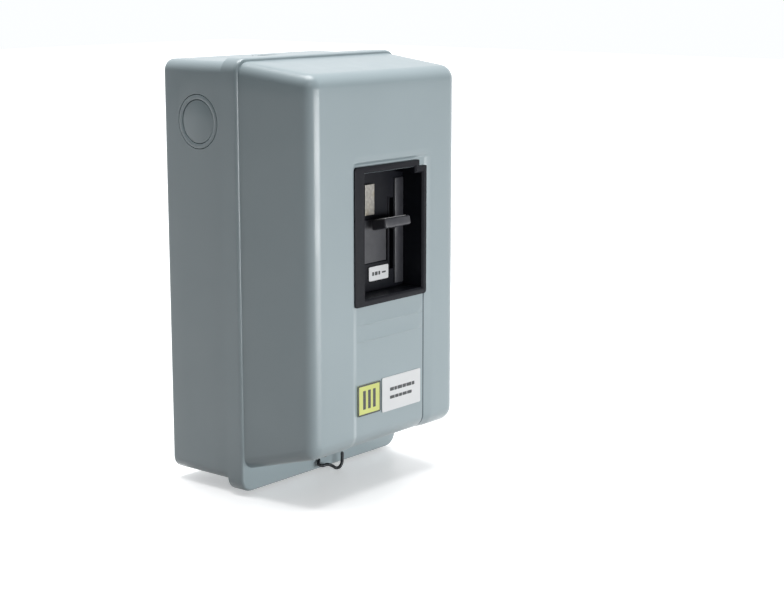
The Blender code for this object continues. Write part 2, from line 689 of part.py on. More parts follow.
def cover_rings(inset, back_y):
    """Sections of the cover's skin, moved inwards by inset; zero gives the outside."""
    def ring(y, grow, half=RIM_HALF, low=RIM_BOTTOM, high=RIM_TOP, corner=RIM_CORNER):
        shrink = inset + grow
        return (y + inset, half - shrink, low + shrink, high - shrink, max(corner - shrink, 0.6 * MM))

    rings = [(back_y, *ring(0, 0)[1:]), ring(-52.0 * MM, 0)]
    rings += [ring(-53.8 * MM, 0.4 * MM), ring(-54.6 * MM, 1.0 * MM)]
    depth = RIM_FRONT_Y - 0.2 * MM - FRONT_Y
    for step in range(6):
        angle = radians(90 * (step - 1) / 4)
        if step == 0:
            y, grow = RIM_FRONT_Y - 0.2 * MM, 0.0
        else:
            y = FRONT_Y + FRONT_EDGE * (1 - sin(angle))
            grow = FRONT_EDGE * (1 - cos(angle))
        part = (RIM_FRONT_Y - 0.2 * MM - y) / depth
        half = SHOULDER_HALF + (FRONT_HALF - SHOULDER_HALF) * part
        low = SHOULDER_BOTTOM + (FRONT_BOTTOM - SHOULDER_BOTTOM) * part
        high = SHOULDER_TOP + (FRONT_TOP - SHOULDER_TOP) * part
        rings.append(ring(y, grow, half, low, high, 8.5 * MM))
    return rings


def make_cover():
    """Drawn steel cover, hollow behind, with its stamped channel, window and screw hole."""
    cover = loft("front_cover", cover_rings(0.0, RIM_BACK_Y), "grey_enamel")
    hollow = loft("cut_cover_hollow", cover_rings(SHEET, RIM_BACK_Y + 5 * MM))
    inner_front = FRONT_Y + SHEET
    backing = block("cut_channel_backing",
                    (CHANNEL_LEFT - SHEET, inner_front - 1 * MM, -120 * MM),
                    (CHANNEL_RIGHT + SHEET, inner_front + CHANNEL_DEPTH, CHANNEL_TOP + SHEET))
    cut(hollow, backing)
    channel = block("cut_channel", (CHANNEL_LEFT, FRONT_Y - 5 * MM, -120 * MM),
                    (CHANNEL_RIGHT, CHANNEL_Y, CHANNEL_TOP))
    window = block("cut_window", (WELL_LEFT - SLEEVE_WALL - GAP, FRONT_Y - 5 * MM,
                                  WELL_BOTTOM - SLEEVE_WALL - GAP),
                   (WELL_RIGHT + SLEEVE_WALL + GAP, FRONT_Y + 8 * MM,
                    WELL_TOP + SLEEVE_WALL + GAP))
    screw_hole = rod("cut_ledge", LEDGE_SCREW_RADIUS + 0.4 * MM, (0, -58 * MM, SCREW_Z),
                     (0, -50 * MM, SCREW_Z), segments=12)
    return cut(cover, hollow, channel, window, screw_hole)


def make_bezel():
    """Black surround: a flange in the channel and a sleeve that reaches the well floor."""
    edge = [(BEZEL_LEFT, BEZEL_BOTTOM), (BEZEL_RIGHT, BEZEL_BOTTOM),
            (BEZEL_RIGHT, BEZEL_TOP - NOTCH_HEIGHT),
            (BEZEL_RIGHT - NOTCH_WIDTH, BEZEL_TOP - NOTCH_HEIGHT),
            (BEZEL_RIGHT - NOTCH_WIDTH, BEZEL_TOP), (BEZEL_LEFT, BEZEL_TOP)]
    opening = rectangle(WELL_LEFT, WELL_RIGHT, WELL_BOTTOM, WELL_TOP)
    top_right = WELL_TOP - NOTCH_HEIGHT
    opening[2:3] = [(WELL_RIGHT, top_right), (BEZEL_RIGHT - NOTCH_WIDTH - 3.3 * MM, top_right),
                    (BEZEL_RIGHT - NOTCH_WIDTH - 3.3 * MM, WELL_TOP)]
    flange = face_plate("bezel", [edge, opening], BEZEL_FRONT_Y, CHANNEL_Y - GAP, "black_moulding")
    outside = rectangle(WELL_LEFT - SLEEVE_WALL, WELL_RIGHT + SLEEVE_WALL,
                        WELL_BOTTOM - SLEEVE_WALL, WELL_TOP + SLEEVE_WALL)
    outside[2:3] = [(WELL_RIGHT + SLEEVE_WALL, top_right + SLEEVE_WALL),
                    (BEZEL_RIGHT - NOTCH_WIDTH - 1.5 * MM, top_right + SLEEVE_WALL),
                    (BEZEL_RIGHT - NOTCH_WIDTH - 1.5 * MM, WELL_TOP + SLEEVE_WALL)]
    sleeve = face_plate("add_sleeve", [outside, opening], CHANNEL_Y - 1 * MM,
                        WELL_FLOOR_Y - 0.4 * MM)
    return join(flange, sleeve)


def make_stickers():
    front, back = CHANNEL_Y - 0.6 * MM, CHANNEL_Y - GAP
    data = rectangle(-3.9 * MM, 28.0 * MM, -74.0 * MM, -55.5 * MM)
    phase = rectangle(-23.3 * MM, -5.3 * MM, -72.6 * MM, -56.1 * MM)
    return (face_plate("data_label", [data], front, back, "white_label"),
            face_plate("phase_label", [phase], front, back, "yellow_label"))


def make_cover_hook():
    """Sealing hook of bent wire beside the cover screw, upturned at its free end."""
    route = ((-4.4, -55.9, -107.4), (-6.6, -57.2, -109.4), (-5.2, -58.8, -110.4),
             (-1.8, -59.6, -110.3), (1.6, -60.0, -111.8), (4.4, -60.0, -113.6),
             (7.4, -60.0, -113.8), (9.4, -60.0, -112.0), (9.8, -60.0, -108.6),
             (9.8, -60.0, -105.6))
    return wire("cover_hook", [Vector(point) * MM for point in route], 0.9 * MM, "dark_steel")


def make_cover_group():
    pieces = [make_cover(), make_bezel(), *make_stickers(), make_cover_hook()]
    fixing = screw("cover_screw", 2.9 * MM, 2.4 * MM, LEDGE_SCREW_RADIUS, 8.0 * MM,
                   (0, RIM_FRONT_Y - GAP, SCREW_Z), "zinc_steel")
    lift = pivot("cover_lift", (0, RIM_BACK_Y, 0))
    carry(lift, *pieces)
    turn = pivot("cover_screw_axis", (0, RIM_FRONT_Y, SCREW_Z))
    carry(lift, turn)
    carry(turn, fixing)


def main():
    make_back_box()
    make_knockouts()
    make_cover_catch()
    make_ground_screw()
    make_base_block()
    make_base_screws()
    make_relay_block()
    make_conductors()
    make_frame_plates()
    make_lever_spring()
    make_front_housing()
    make_lock_tab()
    make_lever()
    make_carrier()
    make_return_spring()
    make_trip_bar()
    make_cover_group()


main()
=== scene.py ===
import bmesh
import bpy
from math import copysign, cos, pi, radians, sin
from mathutils import Euler, Matrix, Vector


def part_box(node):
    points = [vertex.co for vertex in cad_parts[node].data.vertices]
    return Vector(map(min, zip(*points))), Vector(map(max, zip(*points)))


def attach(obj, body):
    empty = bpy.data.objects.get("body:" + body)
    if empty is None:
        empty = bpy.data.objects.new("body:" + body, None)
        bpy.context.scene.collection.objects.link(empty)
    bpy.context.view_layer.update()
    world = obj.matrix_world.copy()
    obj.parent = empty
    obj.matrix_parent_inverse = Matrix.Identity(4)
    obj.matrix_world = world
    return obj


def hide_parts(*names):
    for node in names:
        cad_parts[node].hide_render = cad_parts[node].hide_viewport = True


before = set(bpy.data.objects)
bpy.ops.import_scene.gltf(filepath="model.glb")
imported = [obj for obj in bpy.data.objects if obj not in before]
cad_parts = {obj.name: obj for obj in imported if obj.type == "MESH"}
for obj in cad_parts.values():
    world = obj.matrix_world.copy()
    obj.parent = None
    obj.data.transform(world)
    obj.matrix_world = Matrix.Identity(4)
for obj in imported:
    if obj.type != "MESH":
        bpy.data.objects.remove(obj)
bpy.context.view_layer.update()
mm = 0.001


# small tools

def linear(hexColour):
    # sRGB hex such as "8fa1a5" to a linear RGBA colour
    channels = [int(hexColour[i:i + 2], 16) / 255 for i in (0, 2, 4)]
    return (*[c / 12.92 if c <= 0.04045 else ((c + 0.055) / 1.055) ** 2.4 for c in channels], 1.0)


def addNode(tree, kind, settings=None, inputs=None):
    # one node with its settings; an input that is a socket is linked, anything else is a value
    made = tree.nodes.new(kind)
    for name, value in (settings or {}).items():
        setattr(made, name, value)
    for name, value in (inputs or {}).items():
        if isinstance(value, bpy.types.NodeSocket):
            tree.links.new(value, made.inputs[name])
        else:
            made.inputs[name].default_value = value
    return made


def newMaterial(name, roughness, metallic=0.0, ior=None, coat=0.0):
    material = bpy.data.materials.new(name)
    material.use_nodes = True
    shader = material.node_tree.nodes["Principled BSDF"]
    shader.inputs["Roughness"].default_value = roughness
    shader.inputs["Metallic"].default_value = metallic
    if ior:
        shader.inputs["IOR"].default_value = ior
    if coat:
        shader.inputs["Coat Weight"].default_value = coat
        shader.inputs["Coat Roughness"].default_value = 0.12
    return material, material.node_tree, shader


def objectPoints(tree, stretch=(1, 1, 1)):
    place = addNode(tree, "ShaderNodeTexCoord")
    return addNode(tree, "ShaderNodeMapping", inputs={"Vector": place.outputs["Object"],
                                                      "Scale": stretch}).outputs["Vector"]


def noise(tree, points, grainMm, detail):
    # a noise whose features are about grainMm across
    return addNode(tree, "ShaderNodeTexNoise", inputs={
        "Vector": points, "Scale": 1 / (grainMm * mm), "Detail": detail,
        "Roughness": 0.55}).outputs["Fac"]


def spread(tree, value, fromLow, fromHigh, toLow, toHigh):
    return addNode(tree, "ShaderNodeMapRange", inputs={
        "Value": value, "From Min": fromLow, "From Max": fromHigh,
        "To Min": toLow, "To Max": toHigh}).outputs["Result"]


def blendColours(tree, factor, first, second):
    mix = addNode(tree, "ShaderNodeMix", {"data_type": "RGBA"})
    for socket, value in ((mix.inputs[0], factor), (mix.inputs[6], first), (mix.inputs[7], second)):
        if isinstance(value, bpy.types.NodeSocket):
            tree.links.new(value, socket)
        else:
            socket.default_value = value
    return mix.outputs[2]


# materials, each named for what the real one is, save two copies that carry painted shade and
# painted light

def makeFinish(name, roughness, tones, drift, relief, cut=None, gloss=None, fleck=None,
               strength=0.5, stretch=(1, 1, 1), **surface):
    # two tones drift into each other by a field of (grain in mm, detail), or by the band of its
    # levels in cut; a detail of 0 asks for crystal cells in place of a noise
    # relief ends with its height in mm, and gloss with the least and most roughness
    # fleck is a third colour: grain, detail, the two levels it fades in between, its share
    material, tree, shader = newMaterial(name, roughness, **surface)
    along = objectPoints(tree, stretch)

    def field(grain, detail):
        if detail:
            return noise(tree, along, grain, detail)
        return addNode(tree, "ShaderNodeTexVoronoi", inputs={
            "Vector": along, "Scale": 1 / (grain * mm)}).outputs["Distance"]

    blend = field(*drift)
    if cut:
        blend = spread(tree, blend, *cut, 0, 1)
    colour = blendColours(tree, blend, linear(tones[0]), linear(tones[1]))
    if fleck:
        tone, grain, detail, low, high, share = fleck
        over = spread(tree, noise(tree, objectPoints(tree), grain, detail), low, high, 0, share)
        colour = blendColours(tree, over, colour, linear(tone))
    tree.links.new(colour, shader.inputs["Base Color"])
    if gloss:
        grain, detail, least, most = gloss
        tree.links.new(spread(tree, field(grain, detail), 0.3, 0.7, least, most),
                       shader.inputs["Roughness"])
    grain, detail, height = relief
    bump = addNode(tree, "ShaderNodeBump", inputs={
        "Height": field(grain, detail), "Distance": height * mm, "Strength": strength})
    tree.links.new(bump.outputs["Normal"], shader.inputs["Normal"])
    return material


def rolledMetal(name, tones, stain, stretch, roughness):
    # cold-rolled strip or drawn wire: fine lines along its length and slow tarnish
    return makeFinish(name, roughness, tones, (0.5, 2), (0.5, 2, 0.006), cut=(0.35, 0.65),
                      gloss=(0.5, 2, roughness - 0.06, roughness + 0.08),
                      fleck=(stain, 7, 4, 0.5, 0.8, 0.7), stretch=stretch, metallic=1.0)


def labelFilm(name, *tones):
    # printed polyester film: even colour, soft gloss, tiny ripples of the adhesive beneath
    return makeFinish(name, 0.36, tones, (12, 2), (4, 2, 0.02), ior=1.57)


finishes = {
    # polyester enamel sprayed on steel and baked: satin gloss, a faint orange peel 2 mm across,
    # a few dust nibs, and slow drifts of tone where the film is thicker
    "grey_enamel": makeFinish("bakedGreyEnamel", 0.33, ("95a4a9", "9dacb1"), (60, 2),
                              (2.2, 2, 0.012), gloss=(18, 3, 0.29, 0.37), ior=1.5, coat=0.25,
                              fleck=("768388", 0.7, 2, 0.66, 0.74, 0.10)),
    # glass-filled phenolic from a spark-eroded mould: fine matte grain, 0.4 mm
    "black_moulding": makeFinish("mouldedBlackPhenolic", 0.45, ("0f1016", "181a20"), (6, 4),
                                 (0.45, 3, 0.02), gloss=(1.5, 3, 0.38, 0.52), ior=1.22,
                                 strength=0.6),
    # wood-flour filled phenolic: red-brown, with pale flecks of filler under a half-gloss skin
    "brown_phenolic": makeFinish("woodFlourPhenolic", 0.42, ("3b2419", "50301f"), (9, 4),
                                 (0.6, 2, 0.015), ior=1.6,
                                 fleck=("7a573c", 0.9, 1, 0.62, 0.72, 0.45)),
    # zinc electroplate with a pale passivate: spangled grey, faint warm patches
    "zinc_steel": makeFinish("zincPlatedSteel", 0.46, ("93918b", "7e7c78"), (1.6, 0),
                             (1.6, 0, 0.01), cut=(0, 0.8), gloss=(3, 3, 0.40, 0.56),
                             fleck=("8c8269", 8, 3, 0.5, 0.75, 0.5), strength=0.4,
                             metallic=1.0),
    # blackened and oiled steel, rubbed a little paler in patches
    "dark_steel": makeFinish("blackOxideSteel", 0.42, ("2e3033", "5c5e60"), (2.5, 5),
                             (0.5, 3, 0.01), cut=(0.45, 0.75), gloss=(1.2, 3, 0.34, 0.52),
                             metallic=0.9),
    # transparent green lacquer over a zinc screw, as ground screws have
    "green_screw": makeFinish("greenLacqueredScrew", 0.32, ("1f6b34", "2f8246"), (2, 3),
                              (0.6, 2, 0.01), metallic=0.6),
    "copper": rolledMetal("rolledCopper", ("d99a78", "c07f5c"), "8a5a45", (1, 1, 0.06), 0.30),
    "brass": rolledMetal("turnedBrass", ("d8bd7a", "c2a45e"), "94793f", (1, 1, 0.3), 0.28),
    "spring_steel": rolledMetal("drawnSpringWire", ("b9b9b6", "9c9c9a"), "77766f", (1, 1, 1),
                                0.28),
    "white_label": labelFilm("whitePolyesterFilm", "e2e4e5", "dcdee0"),
    "yellow_label": labelFilm("yellowPolyesterFilm", "d6dc84", "ccd374"),
}
# painted shade: a darker copy of the grey enamel for the faces at the foot of the channel's
# right-hand crease, standing for the shade that falls there
creaseShadePaint = makeFinish("paintedShadeGreyEnamel", 0.55, ("46525a", "566269"), (3, 3),
                          (0.8, 2, 0.01), ior=1.5)
# a paler, smoother copy of the black phenolic for the faces in the well that catch the light: its
# grey tone is painted light
litPhenolicPaint = makeFinish("paintedLightCharcoalPhenolic", 0.38, ("34353a", "434449"), (4, 4),
                      (0.5, 2, 0.012), gloss=(2.5, 3, 0.30, 0.46), ior=1.5)
inkMaterial = labelFilm("darkPrintingInk", "33373a", "2a2e31")
print("materials ready")


# mesh helpers: every finished piece is a plain mesh at the origin, in the frame's metres

def fromBmesh(name, shape, material, sharp=32.0):
    mesh = bpy.data.meshes.new(name)
    shape.to_mesh(mesh)
    shape.free()
    return fromMesh(name, mesh, material, sharp)


def placed(name, data):
    # an object of this name in the scene
    made = bpy.data.objects.new(name, data)
    bpy.context.scene.collection.objects.link(made)
    return made


def fromMesh(name, mesh, material, sharp=32.0):
    mesh.materials.clear()
    mesh.materials.append(material)
    mesh.shade_smooth()
    mesh.set_sharp_from_angle(angle=radians(sharp))
    return placed(name, mesh)


def evaluatedMesh(piece):
    bpy.context.view_layer.update()
    graph = bpy.context.evaluated_depsgraph_get()
    return bpy.data.meshes.new_from_object(piece.evaluated_get(graph))


def applied(piece):
    # the piece as its modifiers leave it, as a plain mesh without them
    mesh = evaluatedMesh(piece)
    piece.modifiers.clear()
    piece.data = mesh
    return piece


def discard(*pieces):
    for piece in pieces:
        bpy.data.objects.remove(piece, do_unlink=True)


def roundEdges(piece, width, segments, angle):
    edge = piece.modifiers.new("edges", "BEVEL")
    edge.width = width
    edge.segments = segments
    edge.angle_limit = radians(angle)
    edge.limit_method = "ANGLE"
    edge.miter_outer = "MITER_ARC"
    edge.harden_normals = True
    applied(piece)


def thicken(piece, sheet):
    wall = piece.modifiers.new("sheet", "SOLIDIFY")
    wall.thickness = sheet
    wall.offset = -1
    applied(piece)


def boolean(piece, other, operation="DIFFERENCE"):
    step = piece.modifiers.new("shape", "BOOLEAN")
    step.operation = operation
    step.solver = "EXACT"
    step.object = other
    applied(piece)
    discard(other)


def arc(x, z, radius, start, steps):
    # a quarter turn of (across, up) points about a centre, from an angle in degrees
    return [(x + radius * cos(radians(start + 90 * i / steps)),
             z + radius * sin(radians(start + 90 * i / steps))) for i in range(steps + 1)]


def stitch(shape, rows):
    # bands of faces between closed rows of points
    for back, front in zip(rows, rows[1:]):
        for i in range(len(back)):
            j = (i + 1) % len(back)
            shape.faces.new((back[i], back[j], front[j], front[i]))


def slab(name, low, high, material, bevel=0.0, segments=3):
    # a block between two corners with rounded edges, in place in its mesh
    low, high = Vector(low), Vector(high)
    shape = bmesh.new()
    bmesh.ops.create_cube(shape, size=1.0)
    bmesh.ops.scale(shape, vec=high - low, verts=shape.verts)
    bmesh.ops.translate(shape, vec=(low + high) / 2, verts=shape.verts)
    if bevel:
        bmesh.ops.bevel(shape, geom=shape.edges, offset=bevel, segments=segments, profile=0.5,
                        affect="EDGES")
    return fromBmesh(name, shape, material)


def drum(name, radius, start, end, material, segments=48):
    start, end = Vector(start), Vector(end)
    shape = bmesh.new()
    turn = (end - start).to_track_quat("Z", "Y").to_matrix().to_4x4()
    bmesh.ops.create_cone(shape, cap_ends=True, segments=segments, radius1=radius,
                          radius2=radius, depth=(end - start).length,
                          matrix=Matrix.Translation((start + end) / 2) @ turn)
    return fromBmesh(name, shape, material)


def merged(name, pieces):
    # several meshes as one piece; each keeps its own material
    shape = bmesh.new()
    materials = []
    for piece in pieces:
        first = len(shape.faces)
        shape.from_mesh(piece.data)
        shape.faces.ensure_lookup_table()
        own = piece.data.materials[0]
        if own not in materials:
            materials.append(own)
        for face in shape.faces[first:]:
            face.material_index = materials.index(own)
    mesh = bpy.data.meshes.new(name)
    shape.to_mesh(mesh)
    shape.free()
    discard(*pieces)
    for own in materials:
        mesh.materials.append(own)
    return placed(name, mesh)


def standIn(piece, body, slot, *nodes):
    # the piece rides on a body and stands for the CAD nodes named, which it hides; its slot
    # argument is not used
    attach(piece, body)
    if nodes:
        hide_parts(*nodes)
    return piece


def softStep(value, low, high):
    part = min(max((value - low) / (high - low), 0.0), 1.0)
    return part * part * (3 - 2 * part)


# camera first: standing a little left of the box and a little above its top

camera = {"place": (-0.6685, -0.6565, 0.156), "tilt": 78.93, "turn": -50.41, "lens": 78.17}
eye = placed("studioCamera", bpy.data.cameras.new("studioCamera"))
eye.location = camera["place"]
eye.rotation_euler = (radians(camera["tilt"]), 0, radians(camera["turn"]))
eye.data.lens = camera["lens"]
eye.data.sensor_width = 36
bpy.context.scene.camera = eye


# cover: one drawn sheet, with rounded edges, a rim and the stamped channel

coverLow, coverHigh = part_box("front_cover")
bezelLow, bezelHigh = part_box("bezel")
cover = {
    "sheet": 1.5 * mm,
    "rimCorner": 7.5 * mm,
    "rimBand": 8.2 * mm,          # flat part of the rim before its edge turns in
    "rimStep": 1.4 * mm,          # how far the sides stand in from the rim
    "rimDepth": 10.6 * mm,
    "ledge": 12.7 * mm,           # height of the ledge under the sloping bottom
    "sideDraft": 3.4 * mm,
    "topDraft": 5.5 * mm,
    "bottomRise": 12.7 * mm,
    "frontEdge": 6.5 * mm,
    "channelDepth": 1.2 * mm,
    "channelSpare": 1.6 * mm,     # channel edge outside the bezel on the left
    "channelPast": 0.3 * mm,      # channel edge past the bezel on the right
    "channelTop": 3.0 * mm,       # channel edge above the bezel
    "rampWidth": 4.6 * mm,
    "wallWidth": 0.45 * mm,
    "creaseInset": 0.6 * mm,      # sharp crease along the foot of the right wall
    "creaseWidth": 0.42 * mm,
    "creaseDepth": 0.9 * mm,
    "topWidth": 2.2 * mm,
    "ridgeDrop": (9.6 * mm, 18.2 * mm),
    "ridgeHeight": 0.5 * mm,
    "ridgeWidth": 0.75 * mm,
    "window": (6.0 * mm, 1.2 * mm, 1.5 * mm, 3.7 * mm),  # inside the bezel: left, right, low, top
    "shoulder": 7.0 * mm,         # corner radius of the raised part
    "gridAcross": (-45 * mm, 45 * mm, 3.2 * mm),
    "gridUp": (-78 * mm, 92 * mm, 3.4 * mm),
    "fineStep": 0.16 * mm,
}


def channelDepthAt(across, up):
    left = bezelLow.x - cover["channelSpare"]
    right = bezelHigh.x + cover["channelPast"]
    top = bezelHigh.z + cover["channelTop"]
    deep = softStep(across, left, left + cover["rampWidth"])
    deep *= 1 - softStep(across, right - cover["wallWidth"], right)
    deep *= 1 - softStep(up, top - cover["topWidth"], top)
    depth = cover["channelDepth"] * deep
    crease = abs(across - right + cover["creaseInset"]) / cover["creaseWidth"]
    if crease < 1 and up < bezelLow.z:
        depth += cover["creaseDepth"] * (0.5 + 0.5 * cos(pi * crease))
    inside = softStep(across, left + 4.5 * mm, left + 6 * mm)
    inside *= 1 - softStep(across, right - 3.0 * mm, right - 1.8 * mm)
    for drop in cover["ridgeDrop"]:
        away = abs(up - (bezelLow.z - drop)) / cover["ridgeWidth"]
        if away < 1:
            depth -= cover["ridgeHeight"] * inside * (0.5 + 0.5 * cos(pi * away))
    return depth


def gridLines(low, high, step, finer):
    # lines from low to high about a step apart; finer holds (centre, reach, closer step)
    lines = [low]
    while lines[-1] < high - step * 0.5:
        at = lines[-1]
        near = [fine for centre, reach, fine in finer if abs(at + step * 0.5 - centre) < reach]
        lines.append(at + min([step, *near]))
    lines[-1] = high
    return lines


def coverRings():
    # sections from the rim's back edge to the edge of the flat front
    front, back = coverLow.y, coverHigh.y
    ledgeY = back - cover["rimDepth"]
    half, low, high = coverHigh.x, coverLow.z, coverHigh.z
    corner = cover["rimCorner"]
    rings = [(back, half, low, high, corner), (back - 0.4 * mm, half, low, high, corner)]
    bandEnd = back - cover["rimBand"]
    rings.append((bandEnd, half, low, high, corner))
    turnIn = cover["rimStep"] - 0.25 * mm
    for step in range(1, 8):
        angle = pi / 2 * step / 7
        grow = turnIn * (1 - cos(angle))
        y = bandEnd + (ledgeY - bandEnd) * sin(angle)
        rings.append((y, half - grow, low + grow * 1.6, high - grow, corner - grow))
    shoulderLow = low + cover["ledge"]
    shoulderTop = high - cover["rimStep"] - 0.3 * mm
    shoulderHalf = half - cover["rimStep"]
    flatEnd = front + cover["frontEdge"]
    depth = ledgeY - front

    def section(y, grow, radius):
        part = (ledgeY - y) / depth
        return (y, shoulderHalf - cover["sideDraft"] * part - grow,
                shoulderLow + cover["bottomRise"] * part + grow,
                shoulderTop - cover["topDraft"] * part - grow, radius)

    radius, sideStart, steps = cover["shoulder"], ledgeY - 4 * mm, 12
    for y in (ledgeY - 0.25 * mm, ledgeY - 0.8 * mm, sideStart):
        rings.append(section(y, 0, radius))
    for step in range(1, steps):
        rings.append(section(sideStart + (flatEnd - sideStart) * step / steps, 0, radius))
    for step in range(steps + 1):
        angle = pi / 2 * step / steps
        grow = cover["frontEdge"] * (1 - cos(angle))
        rings.append(section(front + cover["frontEdge"] * (1 - sin(angle)), grow,
                             max(radius - grow * radius / cover["frontEdge"], 0)))
    return rings


def makeCover():
    # rings hold the same places across and up, so the front face closes with a plain grid
    channelLeft = bezelLow.x - cover["channelSpare"]
    channelRight = bezelHigh.x + cover["channelPast"]
    ridgeZ = [bezelLow.z - drop for drop in cover["ridgeDrop"]]
    left, right, low, top = cover["window"]
    windowX = (bezelLow.x + left, bezelHigh.x - right)
    windowZ = (bezelLow.z + low, bezelHigh.z - top)
    # the lines stand closer over the channel's edges and the two ridges
    fine = cover["fineStep"]
    across = gridLines(*cover["gridAcross"],
                       ((channelLeft + cover["rampWidth"] / 2, 4 * mm, 0.5 * mm),
                        (bezelHigh.x, 1.5 * mm, fine)))
    up = gridLines(*cover["gridUp"], ((bezelHigh.z + 2 * mm, 2.2 * mm, 0.4 * mm),
                                      *[(z, 1.4 * mm, fine) for z in ridgeZ]))
    for lines, places in ((across, windowX), (up, windowZ)):
        for place in places:
            nearest = min(range(len(lines)), key=lambda i: abs(lines[i] - place))
            lines[nearest] = place
    shape = bmesh.new()

    def edgeOf(half, low, high, radius):
        points = [(-half + radius, low)] + [(x, low) for x in across]
        right, top = [(half, z) for z in up], [(x, high) for x in reversed(across)]
        down = [(-half, z) for z in reversed(up)]
        for x, z, start, side in ((half - radius, low + radius, -90, right),
                                  (half - radius, high - radius, 0, top),
                                  (-half + radius, high - radius, 90, down),
                                  (-half + radius, low + radius, 180, [])):
            points += arc(x, z, radius, start, 8) + side
        return points[:-1]

    rows = []
    for y, half, low, high, radius in coverRings():
        rows.append([shape.verts.new((x, y, z)) for x, z in edgeOf(half, low, high, radius)])
    stitch(shape, rows)
    # the last ring, at y, carries the front face
    xs, zs = [-half, *across, half], [low, *up, high]
    grid = [[shape.verts.new((x, y, z)) for x in xs] for z in zs]
    for j in range(len(zs) - 1):
        for i in range(len(xs) - 1):
            middle = ((xs[i] + xs[i + 1]) / 2, (zs[j] + zs[j + 1]) / 2)
            if windowX[0] < middle[0] < windowX[1] and windowZ[0] < middle[1] < windowZ[1]:
                continue
            shape.faces.new((grid[j][i], grid[j][i + 1], grid[j + 1][i + 1], grid[j + 1][i]))
    bmesh.ops.remove_doubles(shape, verts=shape.verts, dist=0.00001)
    for vert in shape.verts:
        forward = 1 - softStep(vert.co.y, y + 6.5 * mm, y + 12 * mm)
        if forward > 0:
            vert.co.y += forward * channelDepthAt(vert.co.x, vert.co.z)
    bmesh.ops.recalc_face_normals(shape, faces=shape.faces)
    if min(shape.faces, key=lambda face: face.calc_center_median().y).normal.y > 0:
        bmesh.ops.reverse_faces(shape, faces=shape.faces)
    piece = fromBmesh("coverShell", shape, finishes["grey_enamel"], 40)
    thicken(piece, cover["sheet"])
    # faces along the foot of the channel's right-hand crease, below the bezel, take the darker
    # enamel: painted shade in the crease
    piece.data.materials.append(creaseShadePaint)
    for face in piece.data.polygons:
        away = abs(face.center.x - channelRight + cover["creaseInset"])
        if (away < cover["creaseWidth"] and face.center.z < bezelLow.z
                and face.center.y < y + cover["frontEdge"]):
            face.material_index = 1
    piece.data.set_sharp_from_angle(angle=radians(40))
    return piece


coverShell = makeCover()
standIn(coverShell, "cover", "grey_enamel", "front_cover")
print("cover made,", len(coverShell.data.vertices), "vertices")


# back box: a folded tray with knockout holes and three mounting holes

boxLow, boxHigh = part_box("back_box")
tray = {"corner": 6.2 * mm, "fold": 2.2 * mm, "sheet": 1.5 * mm, "mountHole": 3.5 * mm}
knockout = {"hole": 14.1 * mm, "disc": 11.1 * mm, "gap": 0.3 * mm, "dish": 0.25 * mm,
            "depth": -25 * mm, "sideUp": 78.4 * mm}
mountingHoles = ((0, 92 * mm), (-38 * mm, -92 * mm), (38 * mm, -92 * mm))


def knockoutPlaces():
    # centre of each outer face, and the turn that takes +Z outwards
    side, top, y = boxHigh.x, boxHigh.z, knockout["depth"]
    return (((-side, y, knockout["sideUp"]), (0, -pi / 2, 0)),
            ((side, y, knockout["sideUp"]), (0, pi / 2, 0)),
            ((0, y, top), (0, 0, 0)), ((0, y, -top), (pi, 0, 0)))


def makeTray():
    shape = bmesh.new()
    half, high = boxHigh.x, boxHigh.z
    rings = []
    for step in range(9):
        angle = pi / 2 * step / 8
        rings.append((-tray["fold"] * (1 - sin(angle)), tray["fold"] * (1 - cos(angle))))
    rings = [(y, grow) for y, grow in rings][::-1] + [(-12 * mm, 0), (-30 * mm, 0), (boxLow.y, 0)]
    rows = []
    for y, grow in rings:
        row, radius = [], tray["corner"] - grow
        for sx, sz, start in ((1, -1, -90), (1, 1, 0), (-1, 1, 90), (-1, -1, 180)):
            row += [shape.verts.new((x, y, z)) for x, z in arc(
                sx * (half - tray["corner"]), sz * (high - tray["corner"]), radius, start, 10)]
        rows.append(row)
    stitch(shape, rows)
    floor = shape.faces.new(rows[0])
    bmesh.ops.recalc_face_normals(shape, faces=shape.faces)
    if floor.normal.y < 0:
        bmesh.ops.reverse_faces(shape, faces=shape.faces)
    piece = fromBmesh("trayShell", shape, finishes["grey_enamel"])
    thicken(piece, tray["sheet"])
    for place, turn in knockoutPlaces():
        out = Euler(turn).to_matrix() @ Vector((0, 0, 4 * mm))
        centre = Vector(place)
        boolean(piece, drum("holeCutter", knockout["hole"], centre - out, centre + out,
                            finishes["grey_enamel"], 64))
    for x, z in mountingHoles:
        boolean(piece, drum("mountCutter", tray["mountHole"], (x, 4 * mm, z),
                            (x, -4 * mm, z), finishes["grey_enamel"], 32))
    piece.data.shade_smooth()
    piece.data.set_sharp_from_angle(angle=radians(30))
    return piece


standIn(makeTray(), "enclosure", "grey_enamel", "back_box")
print("tray made")


# Geometry Nodes: pieces that repeat are instanced on points that carry their own turn

def newTree(name, sockets):
    # a geometry tree with these inputs between its geometry and its finish
    tree = bpy.data.node_groups.new(name, "GeometryNodeTree")
    face = tree.interface
    face.new_socket("Geometry", in_out="INPUT", socket_type="NodeSocketGeometry")
    for socket, kind, value in sockets:
        made = face.new_socket(socket, in_out="INPUT", socket_type="NodeSocket" + kind)
        if value:
            made.default_value = value
    face.new_socket("Finish", in_out="INPUT", socket_type="NodeSocketMaterial")
    face.new_socket("Geometry", in_out="OUTPUT", socket_type="NodeSocketGeometry")
    return tree, addNode(tree, "NodeGroupInput").outputs


def closeTree(tree, geometry, given):
    # the copies become real, take their finish and leave the tree
    real = addNode(tree, "GeometryNodeRealizeInstances", inputs={"Geometry": geometry})
    painted = addNode(tree, "GeometryNodeSetMaterial", inputs={
        "Geometry": real.outputs["Geometry"], "Material": given["Finish"]})
    addNode(tree, "NodeGroupOutput", inputs={"Geometry": painted.outputs["Geometry"]})
    return tree


